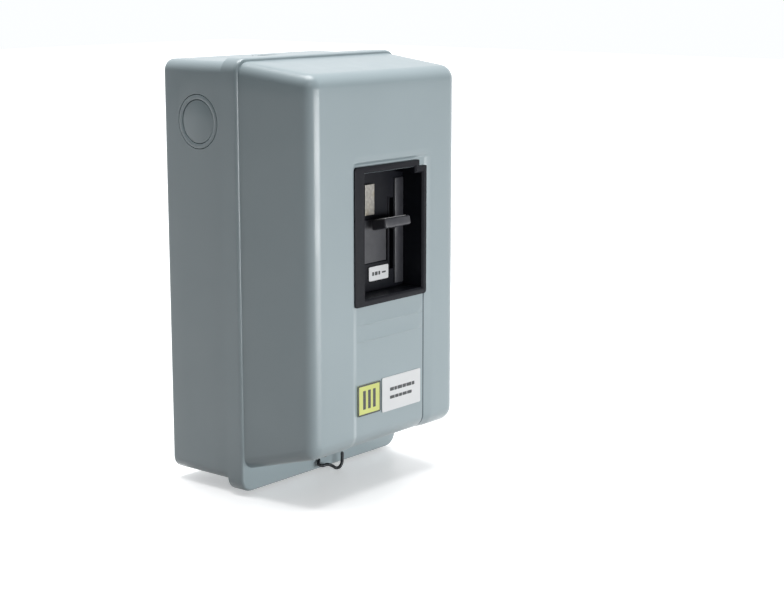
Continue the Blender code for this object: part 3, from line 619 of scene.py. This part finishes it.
def fromTree(name, mesh, tree, values):
    # what a geometry tree makes of a mesh with these inputs, as a plain mesh
    piece = placed(name, mesh)
    step = piece.modifiers.new("nodes", "NODES")
    step.node_group = tree
    sockets = {item.name: item.identifier for item in tree.interface.items_tree
               if item.item_type == "SOCKET" and item.in_out == "INPUT"}
    for socket, value in values.items():
        step[sockets[socket]] = value
    return applied(piece)


def instanceTree():
    tree, given = newTree("repeatOnPlaces", [("Template", "Object", None)])
    shape = addNode(tree, "GeometryNodeObjectInfo", inputs={"Object": given["Template"]})
    turn = addNode(tree, "GeometryNodeInputNamedAttribute", {"data_type": "FLOAT_VECTOR"},
                   {"Name": "turn"})
    copies = addNode(tree, "GeometryNodeInstanceOnPoints", inputs={
        "Points": given["Geometry"], "Instance": shape.outputs["Geometry"],
        "Rotation": turn.outputs["Attribute"]})
    return closeTree(tree, copies.outputs["Instances"], given)


repeatTree = instanceTree()


def repeat(name, template, places, material, sharp=32):
    # places are (point, turn) pairs; the template is used up
    mesh = bpy.data.meshes.new(name)
    mesh.from_pydata([place for place, turn in places], [], [])
    turns = mesh.attributes.new("turn", "FLOAT_VECTOR", "POINT")
    for item, (place, turn) in zip(turns.data, places):
        item.vector = turn
    piece = fromTree(name, mesh, repeatTree, {"Template": template, "Finish": material})
    discard(template)
    piece.data.set_sharp_from_angle(angle=radians(sharp))
    return piece


def turnedTemplate(name, profile, steps=40):
    # profile of (radius, height) from the top down its outer side, turned about Z
    shape = bmesh.new()
    verts = [shape.verts.new((radius, 0, height)) for radius, height in profile]
    edges = [shape.edges.new(pair) for pair in zip(verts, verts[1:])]
    bmesh.ops.spin(shape, geom=verts + edges, cent=(0, 0, 0), axis=(0, 0, 1),
                   angle=2 * pi, steps=steps)
    bmesh.ops.remove_doubles(shape, verts=shape.verts, dist=0.000002)
    bmesh.ops.dissolve_degenerate(shape, edges=shape.edges, dist=0.000001)
    bmesh.ops.recalc_face_normals(shape, faces=shape.faces)
    return fromBmesh(name, shape, finishes["zinc_steel"])


def makeKnockouts():
    disc, hole, gap = knockout["disc"], knockout["hole"], knockout["gap"]
    thick, dish = tray["sheet"], knockout["dish"]
    edge = 0.25 * mm
    discProfile = [(0, -dish), (disc - edge * 2, -dish), (disc - edge * 0.6, -dish - edge * 0.3),
                   (disc, -dish - edge), (disc, -thick), (0, -thick)]
    outer, inner = hole - gap, disc + gap
    ringProfile = [(inner, -edge), (inner + edge * 0.3, -edge * 0.3), (inner + edge, 0),
                   (outer - edge, 0), (outer - edge * 0.3, -edge * 0.3), (outer, -edge),
                   (outer, -thick), (inner, -thick), (inner, -edge)]
    sides = ("left", "right", "top", "bottom")
    for word, profile in (("disc", discProfile), ("ring", ringProfile)):
        template = turnedTemplate("knockoutTemplate", profile, 72)
        piece = repeat("knockout" + word.capitalize() + "s", template, knockoutPlaces(),
                       finishes["grey_enamel"])
        standIn(piece, "enclosure", "grey_enamel",
                *["knockout_" + side + "_" + word for side in sides])


makeKnockouts()
print("knockouts made")


# bezel: black surround with softened edges, a deep sleeve and a notched corner

bezel = {
    "notch": (6.0 * mm, 3.4 * mm),
    "border": (8.3 * mm, 3.3 * mm, 3.5 * mm, 3.5 * mm),      # left, right, bottom, top
    "sleeveWall": 1.8 * mm,
    "flange": 1.4 * mm,
    "chamfer": 0.9 * mm,
    "corner": 1.8 * mm,
    "softEdge": 0.35 * mm,
    "eased": 0.25 * mm,
}
well = {
    "left": bezelLow.x + bezel["border"][0], "right": bezelHigh.x - bezel["border"][1],
    "low": bezelLow.z + bezel["border"][2], "high": bezelHigh.z - bezel["border"][3],
    "floor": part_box("front_housing")[0].y + 1 * mm,
}


def prism(name, outline, frontY, backY, material, edges=0.0):
    # an outline of (across, up) points between a front and a back plane
    shape = bmesh.new()
    front = [shape.verts.new((x, frontY, z)) for x, z in outline]
    face = shape.faces.new(front)
    grown = bmesh.ops.extrude_face_region(shape, geom=[face])
    moved = [item for item in grown["geom"] if isinstance(item, bmesh.types.BMVert)]
    bmesh.ops.translate(shape, vec=(0, backY - frontY, 0), verts=moved)
    bmesh.ops.recalc_face_normals(shape, faces=shape.faces)
    if edges:
        bmesh.ops.bevel(shape, geom=shape.edges, offset=edges, segments=3, profile=0.5,
                        affect="EDGES")
    return fromBmesh(name, shape, material)


def notched(left, right, low, high, across, up, radius=0.0):
    # a rectangle with a small step cut from its upper right corner; radius rounds the other three
    def corner(x, z, start):
        if not radius:
            return [(x, z)]
        return arc(x - copysign(radius, x - (left + right) / 2),
                   z - copysign(radius, z - (low + high) / 2), radius, start, 5)

    return [*corner(left, low, 180), *corner(right, low, -90), (right, high - up),
            (right - across, high - up), (right - across, high), *corner(left, high, 90)]


def wellOutline(grow=0.0):
    # the well's opening, wider all round by the growth
    return notched(well["left"] - grow, well["right"] + grow, well["low"] - grow,
                   well["high"] + grow, *bezel["notch"])


def makeBezel():
    black, chamfer = finishes["black_moulding"], bezel["chamfer"]
    flangeBack = bezelLow.y + bezel["flange"]
    surround = notched(bezelLow.x, bezelHigh.x, bezelLow.z, bezelHigh.z, *bezel["notch"],
                       bezel["corner"])
    piece = prism("bezelFrame", surround, bezelLow.y, flangeBack, black, bezel["softEdge"])
    boolean(piece, prism("sleeve", wellOutline(bezel["sleeveWall"]), flangeBack - 0.6 * mm,
                         bezelHigh.y, black), "UNION")
    boolean(piece, prism("opening", wellOutline(), bezelLow.y - 5 * mm, bezelHigh.y + 5 * mm,
                         black))
    # a draft chamfer leads into the well
    shape = bmesh.new()
    loops = [[shape.verts.new((x, y, z)) for x, z in wellOutline(grow)]
             for grow, y in ((chamfer, bezelLow.y - 0.01 * mm), (0, bezelLow.y + chamfer))]
    stitch(shape, loops)
    shape.faces.new(loops[0])
    shape.faces.new(loops[1][::-1])
    bmesh.ops.recalc_face_normals(shape, faces=shape.faces)
    boolean(piece, fromBmesh("leadIn", shape, black))
    roundEdges(piece, bezel["eased"], 2, 40)
    standIn(piece, "cover", "black_moulding", "bezel")


makeBezel()
print("bezel made")


# well floor: moulded front of the switch, with its guide strip, ribs and slots

housingLow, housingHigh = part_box("front_housing")
housing = {
    "wall": (2.0 * mm, 2.5 * mm),    # its sides and its front
    # left, right, low and high of each area
    "strip": (20.9 * mm, 27.9 * mm, -9.5 * mm, 46.9 * mm),
    "slot": (17.1 * mm, 20.7 * mm, -1.5 * mm, 36.5 * mm),
    "sill": (15.9 * mm, 17.0 * mm, -2.6 * mm, 37.6 * mm),
    "stemSlot": (-0.9 * mm, 1.3 * mm, 30.0 * mm, 42.0 * mm),
    "tabGuide": (-6.2 * mm, -4.9 * mm, 26.8 * mm, 47.2 * mm),
    "pocket": (-7 * mm, 15.6 * mm, 3.4 * mm, 26.8 * mm),
    "screws": ((-15.4 * mm, 40 * mm), (-15.4 * mm, 4 * mm)),
    "screwRecess": (2.6 * mm, 1.4 * mm),     # radius and depth
    "root": 0.5 * mm,                # how far the raised parts reach into the front
    "eased": 0.22 * mm,
}


def plate(name, area, front, back, material, edges=0.0, segments=2):
    left, right, low, high = area
    return slab(name, (left, front, low), (right, back, high), material, edges, segments)


def makeHousing():
    black, floor = finishes["black_moulding"], well["floor"]
    side, front = housing["wall"]
    shell = slab("switchFront", (housingLow.x, floor, housingLow.z), housingHigh, black, 1.0 * mm)
    hollow = (housingLow.x + side, housingHigh.x - side, housingLow.z + side,
              housingHigh.z - side)
    boolean(shell, plate("hollow", hollow, floor + front, housingHigh.y + 5 * mm, black))
    # shallow pocket left of the lever, as deep as the wall allows
    boolean(shell, plate("pocket", housing["pocket"], floor - 1 * mm, floor + 1 * mm, black))
    for area in (housing["slot"], housing["stemSlot"]):
        boolean(shell, plate("slot", area, floor - 4 * mm, floor + 5 * mm, black))
    radius, depth = housing["screwRecess"]
    for x, z in housing["screws"]:
        boolean(shell, drum("recess", radius, (x, floor - 2 * mm, z), (x, floor + depth, z),
                            black, 32))
    roundEdges(shell, housing["eased"], 2, 40)
    root = floor + housing["root"]
    # the guide strip faces the light and takes the paler copy of the phenolic: painted light
    strip = plate("guideStrip", housing["strip"], floor - 1 * mm, root, litPhenolicPaint, 0.35 * mm, 3)
    sill = plate("slotSill", housing["sill"], floor - 0.45 * mm, root, black, 0.2 * mm)
    ledge = plate("tabGuide", housing["tabGuide"], floor - 1.6 * mm, root, black, 0.3 * mm)
    standIn(merged("switchFront_body", [shell, strip, sill, ledge]), "enclosure",
            "black_moulding", "front_housing")


def makePocketRamp():
    # slanted wedge in the pocket, in the paler copy of the phenolic: it shows as a paler diagonal
    # behind the paddle, painted light where the light glints
    shape = bmesh.new()
    floor = well["floor"]
    margin = 0.4 * mm
    left, right, low, high = housing["pocket"]
    left, right, low, high = left + margin, right - margin, low + margin, high - margin
    corners = [(x, floor + deep * mm, z) for x, deep, z in (
        (left, 0.9, low), (right, 0.9, low), (right, 0.9, high), (left, 0.9, high),
        (left, -0.35, low), (right, 0.6, low), (right, 0.6, high), (left, 0.2, high))]
    verts = [shape.verts.new(corner) for corner in corners]
    for face in ((0, 1, 2, 3), (4, 5, 6, 7), (0, 1, 5, 4), (1, 2, 6, 5), (2, 3, 7, 6),
                 (3, 0, 4, 7)):
        shape.faces.new([verts[i] for i in face])
    bmesh.ops.triangulate(shape, faces=shape.faces[1:2])
    bmesh.ops.recalc_face_normals(shape, faces=shape.faces)
    standIn(fromBmesh("pocketRamp", shape, litPhenolicPaint), "enclosure", "black_moulding")


makeHousing()
makePocketRamp()
print("switch front made")


# paddle: moulded over the steel arm, with grip ribs across its upper face

lever = {"pivot": Vector((0, -57 * mm, 16 * mm)), "raised": 12, "ribs": 5, "ribPitch": 1.5 * mm,
         "ribHeight": 0.3 * mm, "ribShort": 3.4 * mm, "ribSink": 0.32 * mm, "taper": 0.14,
         "low": Vector((-0.5, -44.0, -1.9)) * mm,
         "high": Vector((20.3, -33.8, 3.7)) * mm}
leverTurn = (Matrix.Translation(lever["pivot"])
             @ Matrix.Rotation(radians(-lever["raised"]), 4, "X"))


def ribTree():
    # a row of rounded bars: count, pitch and size are inputs
    tree, given = newTree("gripRibs", [
        ("Count", "Int", 5), ("Pitch", "Float", 1.5 * mm), ("Length", "Float", 18 * mm),
        ("Thickness", "Float", 0.3 * mm)])
    step = addNode(tree, "ShaderNodeCombineXYZ", inputs={"Y": given["Pitch"]})
    row = addNode(tree, "GeometryNodeMeshLine", inputs={"Count": given["Count"],
                                                        "Offset": step.outputs[0]})
    bar = addNode(tree, "GeometryNodeMeshCylinder", inputs={
        "Vertices": 12, "Radius": given["Thickness"], "Depth": given["Length"]})
    lie = addNode(tree, "GeometryNodeTransform", inputs={"Geometry": bar.outputs["Mesh"],
                                                         "Rotation": (0, pi / 2, 0)})
    copies = addNode(tree, "GeometryNodeInstanceOnPoints", inputs={
        "Points": row.outputs["Mesh"], "Instance": lie.outputs["Geometry"]})
    return closeTree(tree, copies.outputs["Instances"], given)


def makePaddle():
    low, high = lever["low"], lever["high"]
    middle = (low + high) / 2
    # the paddle and its ribs take the paler copy of the phenolic: painted light on their lit faces
    bodyPiece = slab("paddleBody", low, high, litPhenolicPaint, 1.1 * mm, 4)
    shape = bmesh.new()
    shape.from_mesh(bodyPiece.data)
    for vert in shape.verts:                     # thinner towards the tip, as a finger rest is
        toTip = (high.y - vert.co.y) / (high.y - low.y)
        vert.co.z = middle.z + (vert.co.z - middle.z) * (1 - lever["taper"] * toTip)
    shape.to_mesh(bodyPiece.data)
    shape.free()
    holder = fromTree("gripRibs", bpy.data.meshes.new("gripRibs"), ribTree(), {
        "Count": lever["ribs"], "Pitch": lever["ribPitch"],
        "Length": high.x - low.x - lever["ribShort"], "Thickness": lever["ribHeight"],
        "Finish": litPhenolicPaint})
    start = middle.y - lever["ribPitch"] * (lever["ribs"] - 1) / 2
    holder.data.transform(Matrix.Translation((middle.x, start, high.z - lever["ribSink"])))
    piece = merged("leverPaddle", [bodyPiece, holder])
    piece.data.transform(leverTurn)
    piece.data.set_sharp_from_angle(angle=radians(40))
    standIn(piece, "lever", "black_moulding", "lever_paddle")


makePaddle()
print("paddle made")


# stickers: film plates with rounded corners and printed bars in place of words

stickers = {"corner": 0.8 * mm, "print": 0.05 * mm, "markCorner": 0.25 * mm}


def roundedOutline(left, right, low, high, radius, steps=6):
    return [*arc(right - radius, low + radius, radius, -90, steps),
            *arc(right - radius, high - radius, radius, 0, steps),
            *arc(left + radius, high - radius, radius, 90, steps),
            *arc(left + radius, low + radius, radius, 180, steps)]


def makeSticker(name, node, slot, marks, body="cover"):
    low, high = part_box(node)
    face = low.y + stickers["print"]
    wide, tall = high.x - low.x, high.z - low.z
    pieces = [prism(name + "Film",
                    roundedOutline(low.x, high.x, low.z, high.z, stickers["corner"]), face,
                    high.y, finishes[slot])]
    for number, (left, right, bottom, top) in enumerate(marks):
        radius = min(stickers["markCorner"], (top - bottom) * tall * 0.3)
        outline = roundedOutline(low.x + left * wide, low.x + right * wide,
                                 low.z + bottom * tall, low.z + top * tall, radius, 4)
        pieces.append(prism(name + str(number), outline, face - stickers["print"],
                            face + stickers["print"], inkMaterial))
    standIn(merged(name, pieces), body, slot, node)


def barLine(left, bottom, top, widths, space):
    # a run of short bars, like a line of small print seen from afar
    marks, at = [], left
    for width in widths:
        marks.append((at, at + width, bottom, top))
        at += width + space
    return marks


# marks are shares of the sticker's width and height: left, right, bottom, top
dataMarks = (barLine(0.20, 0.57, 0.67, (0.10, 0.07, 0.12, 0.09, 0.13, 0.07), 0.012)
             + barLine(0.20, 0.34, 0.43, (0.12, 0.09, 0.08, 0.11, 0.12), 0.012))
makeSticker("dataSticker", "data_label", "white_label", dataMarks)
frameMarks = [(0.0, 0.045, 0.02, 0.98), (0.955, 1.0, 0.02, 0.98), (0.02, 0.98, 0.0, 0.05),
              (0.02, 0.98, 0.95, 1.0)]
phaseMarks = [(0.22 + 0.22 * i, 0.34 + 0.22 * i, 0.2, 0.8) for i in range(3)]
makeSticker("phaseSticker", "phase_label", "yellow_label", frameMarks + phaseMarks)
wellMarks = barLine(0.16, 0.36, 0.62, (0.10, 0.14, 0.09), 0.04) + [(0.66, 0.86, 0.44, 0.56)]
makeSticker("wellSticker", "well_label", "white_label", wellMarks, "enclosure")
print("stickers made")


# wires: the seal hook below the cover, and the springs

def wireMesh(name, points, radius, material):
    # a round wire through the points, with softly turned bends and domed ends
    spots = [Vector(point) for point in points]
    padded = [spots[0] * 2 - spots[1]] + spots + [spots[-1] * 2 - spots[-2]]
    path = []
    for a, b, c, d in zip(padded, padded[1:], padded[2:], padded[3:]):
        for i in range(5):
            t = i / 5
            path.append(0.5 * (2 * b + (c - a) * t + (2 * a - 5 * b + 4 * c - d) * t * t
                               + (3 * b - a - 3 * c + d) * t ** 3))
    path.append(spots[-1])
    curve = bpy.data.curves.new(name, "CURVE")
    curve.dimensions = "3D"
    curve.bevel_depth = radius
    curve.bevel_resolution = 4
    curve.use_fill_caps = True
    line = curve.splines.new("POLY")
    line.points.add(len(path) - 1)
    for point, place in zip(line.points, path):
        point.co = (*place, 1)
    for end in (0, -1):
        line.points[end].radius = 0.55
    holder = placed(name, curve)
    mesh = evaluatedMesh(holder)
    discard(holder)
    return fromMesh(name, mesh, material, 50)


def coilTree():
    # a coil along Z from its foot: turns, radius, height and wire size are inputs
    tree, given = newTree("coilSpring", [
        ("Turns", "Float", 4.0), ("Radius", "Float", 3 * mm), ("Height", "Float", 10 * mm),
        ("Wire", "Float", 0.4 * mm)])
    line = addNode(tree, "GeometryNodeCurveSpiral", inputs={
        "Resolution": 28, "Rotations": given["Turns"], "Start Radius": given["Radius"],
        "End Radius": given["Radius"], "Height": given["Height"]})
    ring = addNode(tree, "GeometryNodeCurvePrimitiveCircle", inputs={
        "Resolution": 12, "Radius": given["Wire"]})
    solid = addNode(tree, "GeometryNodeCurveToMesh", inputs={
        "Curve": line.outputs["Curve"], "Profile Curve": ring.outputs["Curve"],
        "Fill Caps": True})
    return closeTree(tree, solid.outputs["Mesh"], given)


springTree = coilTree()


poles = (-26.7 * mm, 0, 26.7 * mm)
springs = {
    # each coil stands on its foot, or lies along X where it is laid over
    "contact": {"foot": (0, -24 * mm, -8.55 * mm), "height": 6.0 * mm, "radius": 2.2 * mm,
                "wire": 0.35 * mm, "turns": 4},
    "return": {"foot": (-13.35 * mm, -42 * mm, -22.15 * mm), "height": 15.75 * mm,
               "radius": 2.3 * mm, "wire": 0.45 * mm, "turns": 7},
    "lever": {"foot": (0, 0, 0), "height": 6.2 * mm, "radius": 3.4 * mm, "wire": 0.5 * mm,
              "turns": 5, "start": 10.1 * mm, "leg": 11.6 * mm},
}


def makeCoil(name, kind, across=0.0):
    coil = springs[kind]
    wire = coil["wire"]
    piece = fromTree(name, bpy.data.meshes.new(name), springTree, {
        "Turns": float(coil["turns"]), "Radius": coil["radius"],
        "Height": coil["height"] - 2 * wire, "Wire": wire, "Finish": finishes["spring_steel"]})
    piece.data.transform(Matrix.Translation(Vector(coil["foot"]) + Vector((across, 0, wire))))
    piece.data.shade_smooth()
    piece.data.set_sharp_from_angle(angle=radians(50))
    return piece


def makeSprings():
    for number, across in enumerate(poles, 1):
        standIn(makeCoil(f"contactCoil{number}", "contact", across), "carrier", "spring_steel",
                f"contact_spring_{number}")
    standIn(makeCoil("returnCoil", "return"), "enclosure", "spring_steel", "return_spring")
    torsion, pin = springs["lever"], lever["pivot"]
    piece = makeCoil("leverCoil", "lever")
    piece.data.transform(Matrix.Translation((torsion["start"], pin.y, pin.z))
                         @ Matrix.Rotation(pi / 2, 4, "Y"))
    end = Vector((torsion["start"] + torsion["height"] - torsion["wire"],
                  pin.y + torsion["radius"], pin.z))
    leg = wireMesh("springLeg", [end + Vector((0, 0, torsion["leg"] * share))
                                 for share in (0, 0.5, 1)], torsion["wire"],
                   finishes["spring_steel"])
    standIn(merged("leverCoilAndLeg", [piece, leg]), "enclosure", "spring_steel", "lever_spring")


def makeHook():
    route = ((-4.4, -55.9, -107.4), (-6.6, -57.2, -109.4), (-5.2, -58.8, -110.4),
             (-1.8, -59.6, -110.3), (1.6, -60.0, -111.8), (4.4, -60.0, -113.6),
             (7.4, -60.0, -113.8), (9.4, -60.0, -112.0), (9.8, -60.0, -108.6),
             (9.8, -60.0, -105.6))                # millimetres
    standIn(wireMesh("sealHook", [Vector(point) * mm for point in route], 0.9 * mm,
                     finishes["dark_steel"]), "cover", "dark_steel", "cover_hook")


makeSprings()
makeHook()
print("springs and hook made")


# screws: slotted pan heads, one template for each size

fixings = {
    # head and shank are radius and length in millimetres; under is where the heads sit
    "line_screw": {"head": (4.0, 2.8), "shank": (1.9, 1.6), "slot": "brass",
                   "under": [(across / mm, -12.1, 56) for across in poles]},
    "load_screw": {"head": (4.0, 2.8), "shank": (1.9, 1.6), "slot": "brass",
                   "under": [(across / mm, -38.4, -57) for across in poles]},
    "base_screw": {"head": (2.4, 2.0), "shank": (1.5, 8.0), "slot": "zinc_steel",
                   "under": [(-43.9, -10.3, 63), (43.9, -10.3, -63)]},
    "ground_screw": {"head": (4.5, 2.6), "shank": (2.0, 4.0), "slot": "green_screw",
                     "under": [(45, -5.9, -92)]},
    "cover_screw": {"head": (2.9, 2.4), "shank": (1.5, 8.0), "slot": "zinc_steel",
                    "under": [(0, -54.9, -104.3)]},
}
headRound = ((0.45, 0.985), (0.72, 0.92), (0.9, 0.78), (0.985, 0.55), (1, 0.3), (1, 0.08),
             (0.96, 0))                           # shares of the head's radius and height


def screwTemplate(head, shank):
    radius, height = head[0] * mm, head[1] * mm
    stem, length = shank[0] * mm, shank[1] * mm
    profile = [(0, height), *[(radius * out, height * up) for out, up in headRound], (stem, 0)]
    threads = int(length / (0.8 * mm))
    pitch = length / threads
    for i in range(threads):
        profile += [(stem * out, -pitch * (i + down))
                    for out, down in ((1, 0.15), (0.84, 0.5), (1, 0.85))]
    profile += [(stem * 0.8, -length), (0, -length)]
    template = turnedTemplate("screwTemplate", profile, 40)
    half = max(0.45 * mm, radius * 0.12)
    boolean(template, slab("slotCut", (-radius * 1.2, -half, height * 0.5),
                           (radius * 1.2, half, height * 1.4), finishes["zinc_steel"]))
    return template


def numbered(name, count):
    return [name] if count == 1 else [f"{name}_{i + 1}" for i in range(count)]


def makeScrews():
    for number, (name, kind) in enumerate(fixings.items()):
        places = []
        for i, under in enumerate(kind["under"]):
            facing = Matrix.Rotation(pi / 2, 3, "X") @ Matrix.Rotation(
                radians(17 + 62 * i + 29 * number), 3, "Z")
            places.append((Vector(under) * mm, facing.to_euler()))
        piece = repeat(name.replace("_s", "S") + "Set", screwTemplate(kind["head"], kind["shank"]),
                       places, finishes[kind["slot"]], sharp=38)
        body = "cover_screw_body" if name == "cover_screw" else "enclosure"
        standIn(piece, body, kind["slot"], *numbered(name, len(places)))


makeScrews()
print("screws made")


# the rest of the switch: the CAD bodies with their edges eased and round parts smoothed

def refined(name, node, body, slot, ease=0.3, segments=2, extras=(), cuts=()):
    # ease is the edge width in millimetres; cuts are taken out of it and extras merged in
    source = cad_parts[node]
    shape = bmesh.new()
    shape.from_mesh(source.data)
    bmesh.ops.transform(shape, matrix=source.matrix_world, verts=shape.verts)
    bmesh.ops.remove_doubles(shape, verts=shape.verts, dist=0.000002)
    bmesh.ops.dissolve_limit(shape, angle_limit=radians(1), verts=shape.verts,
                             edges=shape.edges)
    piece = fromBmesh(name, shape, finishes[slot], 35)
    for part in cuts:
        boolean(piece, part)
    roundEdges(piece, ease * mm, segments, 36)
    if extras:
        piece = merged(name + "Set", [piece, *extras])
    standIn(piece, body, slot, node)


ribs = {"area": (-45 * mm, -42.4 * mm), "out": (-10.6 * mm, -9.6 * mm), "thick": 1.4 * mm,
        "low": (-50 * mm, -46 * mm, -42 * mm), "edge": 0.25 * mm}


def makeBase():
    # the moulded base with three short ribs beside its lower screw
    (left, right), (front, back) = ribs["area"], ribs["out"]
    bars = [plate("baseRib", (left, right, z, z + ribs["thick"]), front, back,
                  finishes["brown_phenolic"], ribs["edge"], 3) for z in ribs["low"]]
    refined("switchBase", "base_block", "enclosure", "brown_phenolic", 0.45, 3, bars)


vents = {"count": 3, "pitch": 4.2 * mm, "width": 2.2 * mm, "depth": 0.7 * mm,
         "up": (-28.5 * mm, -21.5 * mm)}


def makeRelay():
    # relay housing with shallow vents in its front over each pole
    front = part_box("relay_block")[0].y
    cuts = []
    for across in poles:
        for i in range(vents["count"]):
            middle = across + vents["pitch"] * (i - (vents["count"] - 1) / 2)
            area = (middle - vents["width"] / 2, middle + vents["width"] / 2, *vents["up"])
            cuts.append(plate("relayVent", area, front - 1 * mm, front + vents["depth"],
                              finishes["black_moulding"]))
    refined("relayHousing", "relay_block", "enclosure", "black_moulding", 0.3, 2, cuts=cuts)


insideParts = {
    # node: (body, record slot, edge width in millimetres, how many)
    "contact_carrier": ("carrier", "black_moulding", 0.35, 1),
    "cover_catch": ("enclosure", "zinc_steel", 0.3, 1),
    "frame_plate_left": ("enclosure", "zinc_steel", 0.25, 1),
    "frame_plate_right": ("enclosure", "zinc_steel", 0.25, 1),
    "pivot_pin": ("enclosure", "dark_steel", 0.4, 1),
    "drive_pin": ("lever", "dark_steel", 0.3, 1),
    "lever_arm": ("lever", "dark_steel", 0.3, 1),
    "lock_tab": ("lock", "zinc_steel", 0.25, 1),
    "trip_bar": ("trip", "zinc_steel", 0.25, 1),
    "contact_bridge": ("carrier", "copper", 0.25, 3),
    "line_contact": ("enclosure", "copper", 0.25, 3),
    "load_contact": ("enclosure", "copper", 0.25, 3),
    "load_terminal": ("enclosure", "copper", 0.25, 3),
    "heater_unit": ("enclosure", "brown_phenolic", 0.4, 3),
}


def makeInside():
    for family, (body, slot, ease, count) in insideParts.items():
        for node in numbered(family, count):
            first, *others = node.split("_")
            name = first + "".join(word.capitalize() for word in others) + "Fine"
            refined(name, node, body, slot, ease)


makeBase()
makeRelay()
makeInside()
print("inside parts made")


# floor, light and view

studio = {"floor": 0.1152, "half": 4.0, "sky": "f4f6f8", "dim": 0.12, "bright": 1.08,
          "glow": 0.34, "brightSide": (0.62, 0.70, 0.36), "fade": (-0.1, 0.55)}
softboxes = {
    # place, aim and size in metres, then watts
    "lowFrontSoftbox": ((0.05, -0.75, -0.02), (0, -0.1, -0.08), (0.6, 0.16), 3.4),
    "edgeStrip": ((-0.75, -0.8, 0.85), (0, -0.05, 0.05), (0.10, 0.45), 0.75),
}


def makeFloor():
    # a backlit white table; it throws no light on the box, so the side walls stay dark
    half, top = studio["half"], -studio["floor"]
    material = labelFilm("backlitAcrylicTable", "f4f4f4", "f0f0f0")
    shader = material.node_tree.nodes["Principled BSDF"]
    shader.inputs["Emission Color"].default_value = linear("ffffff")
    shader.inputs["Emission Strength"].default_value = studio["glow"]
    floor = slab("studioFloor", (-half, -half, top - 0.02), (half, half, top), material)
    floor.visible_diffuse = False


def makeSky():
    # soft studio surround: brighter above and to the right, dim on the left
    world = bpy.data.worlds.new("studioSky")
    world.use_nodes = True
    tree = world.node_tree
    background = tree.nodes["Background"]
    way = addNode(tree, "ShaderNodeTexCoord").outputs["Generated"]
    toward = addNode(tree, "ShaderNodeVectorMath", {"operation": "DOT_PRODUCT"},
                     {0: way, 1: Vector(studio["brightSide"]).normalized()}).outputs["Value"]
    level = addNode(tree, "ShaderNodeMapRange", {"interpolation_type": "SMOOTHSTEP"},
                    {"Value": toward, "From Min": studio["fade"][0],
                     "From Max": studio["fade"][1], "To Min": studio["dim"],
                     "To Max": studio["bright"]})
    # the backdrop itself is evenly white from every side; only its light is shaped
    seen = addNode(tree, "ShaderNodeLightPath").outputs["Is Camera Ray"]
    shown = addNode(tree, "ShaderNodeMath", {"operation": "MULTIPLY"},
                    {0: seen, 1: studio["bright"]}).outputs["Value"]
    strength = addNode(tree, "ShaderNodeMath", {"operation": "MAXIMUM"},
                       {0: shown, 1: level.outputs["Result"]}).outputs["Value"]
    background.inputs["Color"].default_value = linear(studio["sky"])
    tree.links.new(strength, background.inputs["Strength"])
    bpy.context.scene.world = world


def hang(name, kind, strength, turn, place=(0, 0, 0)):
    # a lamp of this kind, turned and placed
    lamp = bpy.data.lights.new(name, kind)
    lamp.energy = strength
    holder = placed(name, lamp)
    holder.location = place
    holder.rotation_euler = turn
    return lamp


def softLight(name, place, aim, size, watts):
    turn = (Vector(aim) - Vector(place)).to_track_quat("-Z", "Y").to_euler()
    lamp = hang(name, "AREA", watts, turn, place)
    lamp.shape = "RECTANGLE"
    lamp.size, lamp.size_y = size


makeFloor()
makeSky()
for name, settings in softboxes.items():
    softLight(name, *settings)
# even light from overhead, as from a wide diffuser, leaning a little to the front and right
hang("overheadDiffuser", "SUN", 3.0, (radians(-8), radians(6), 0)).angle = radians(45)
bpy.context.scene.view_settings.view_transform = "Standard"
print("studio ready")
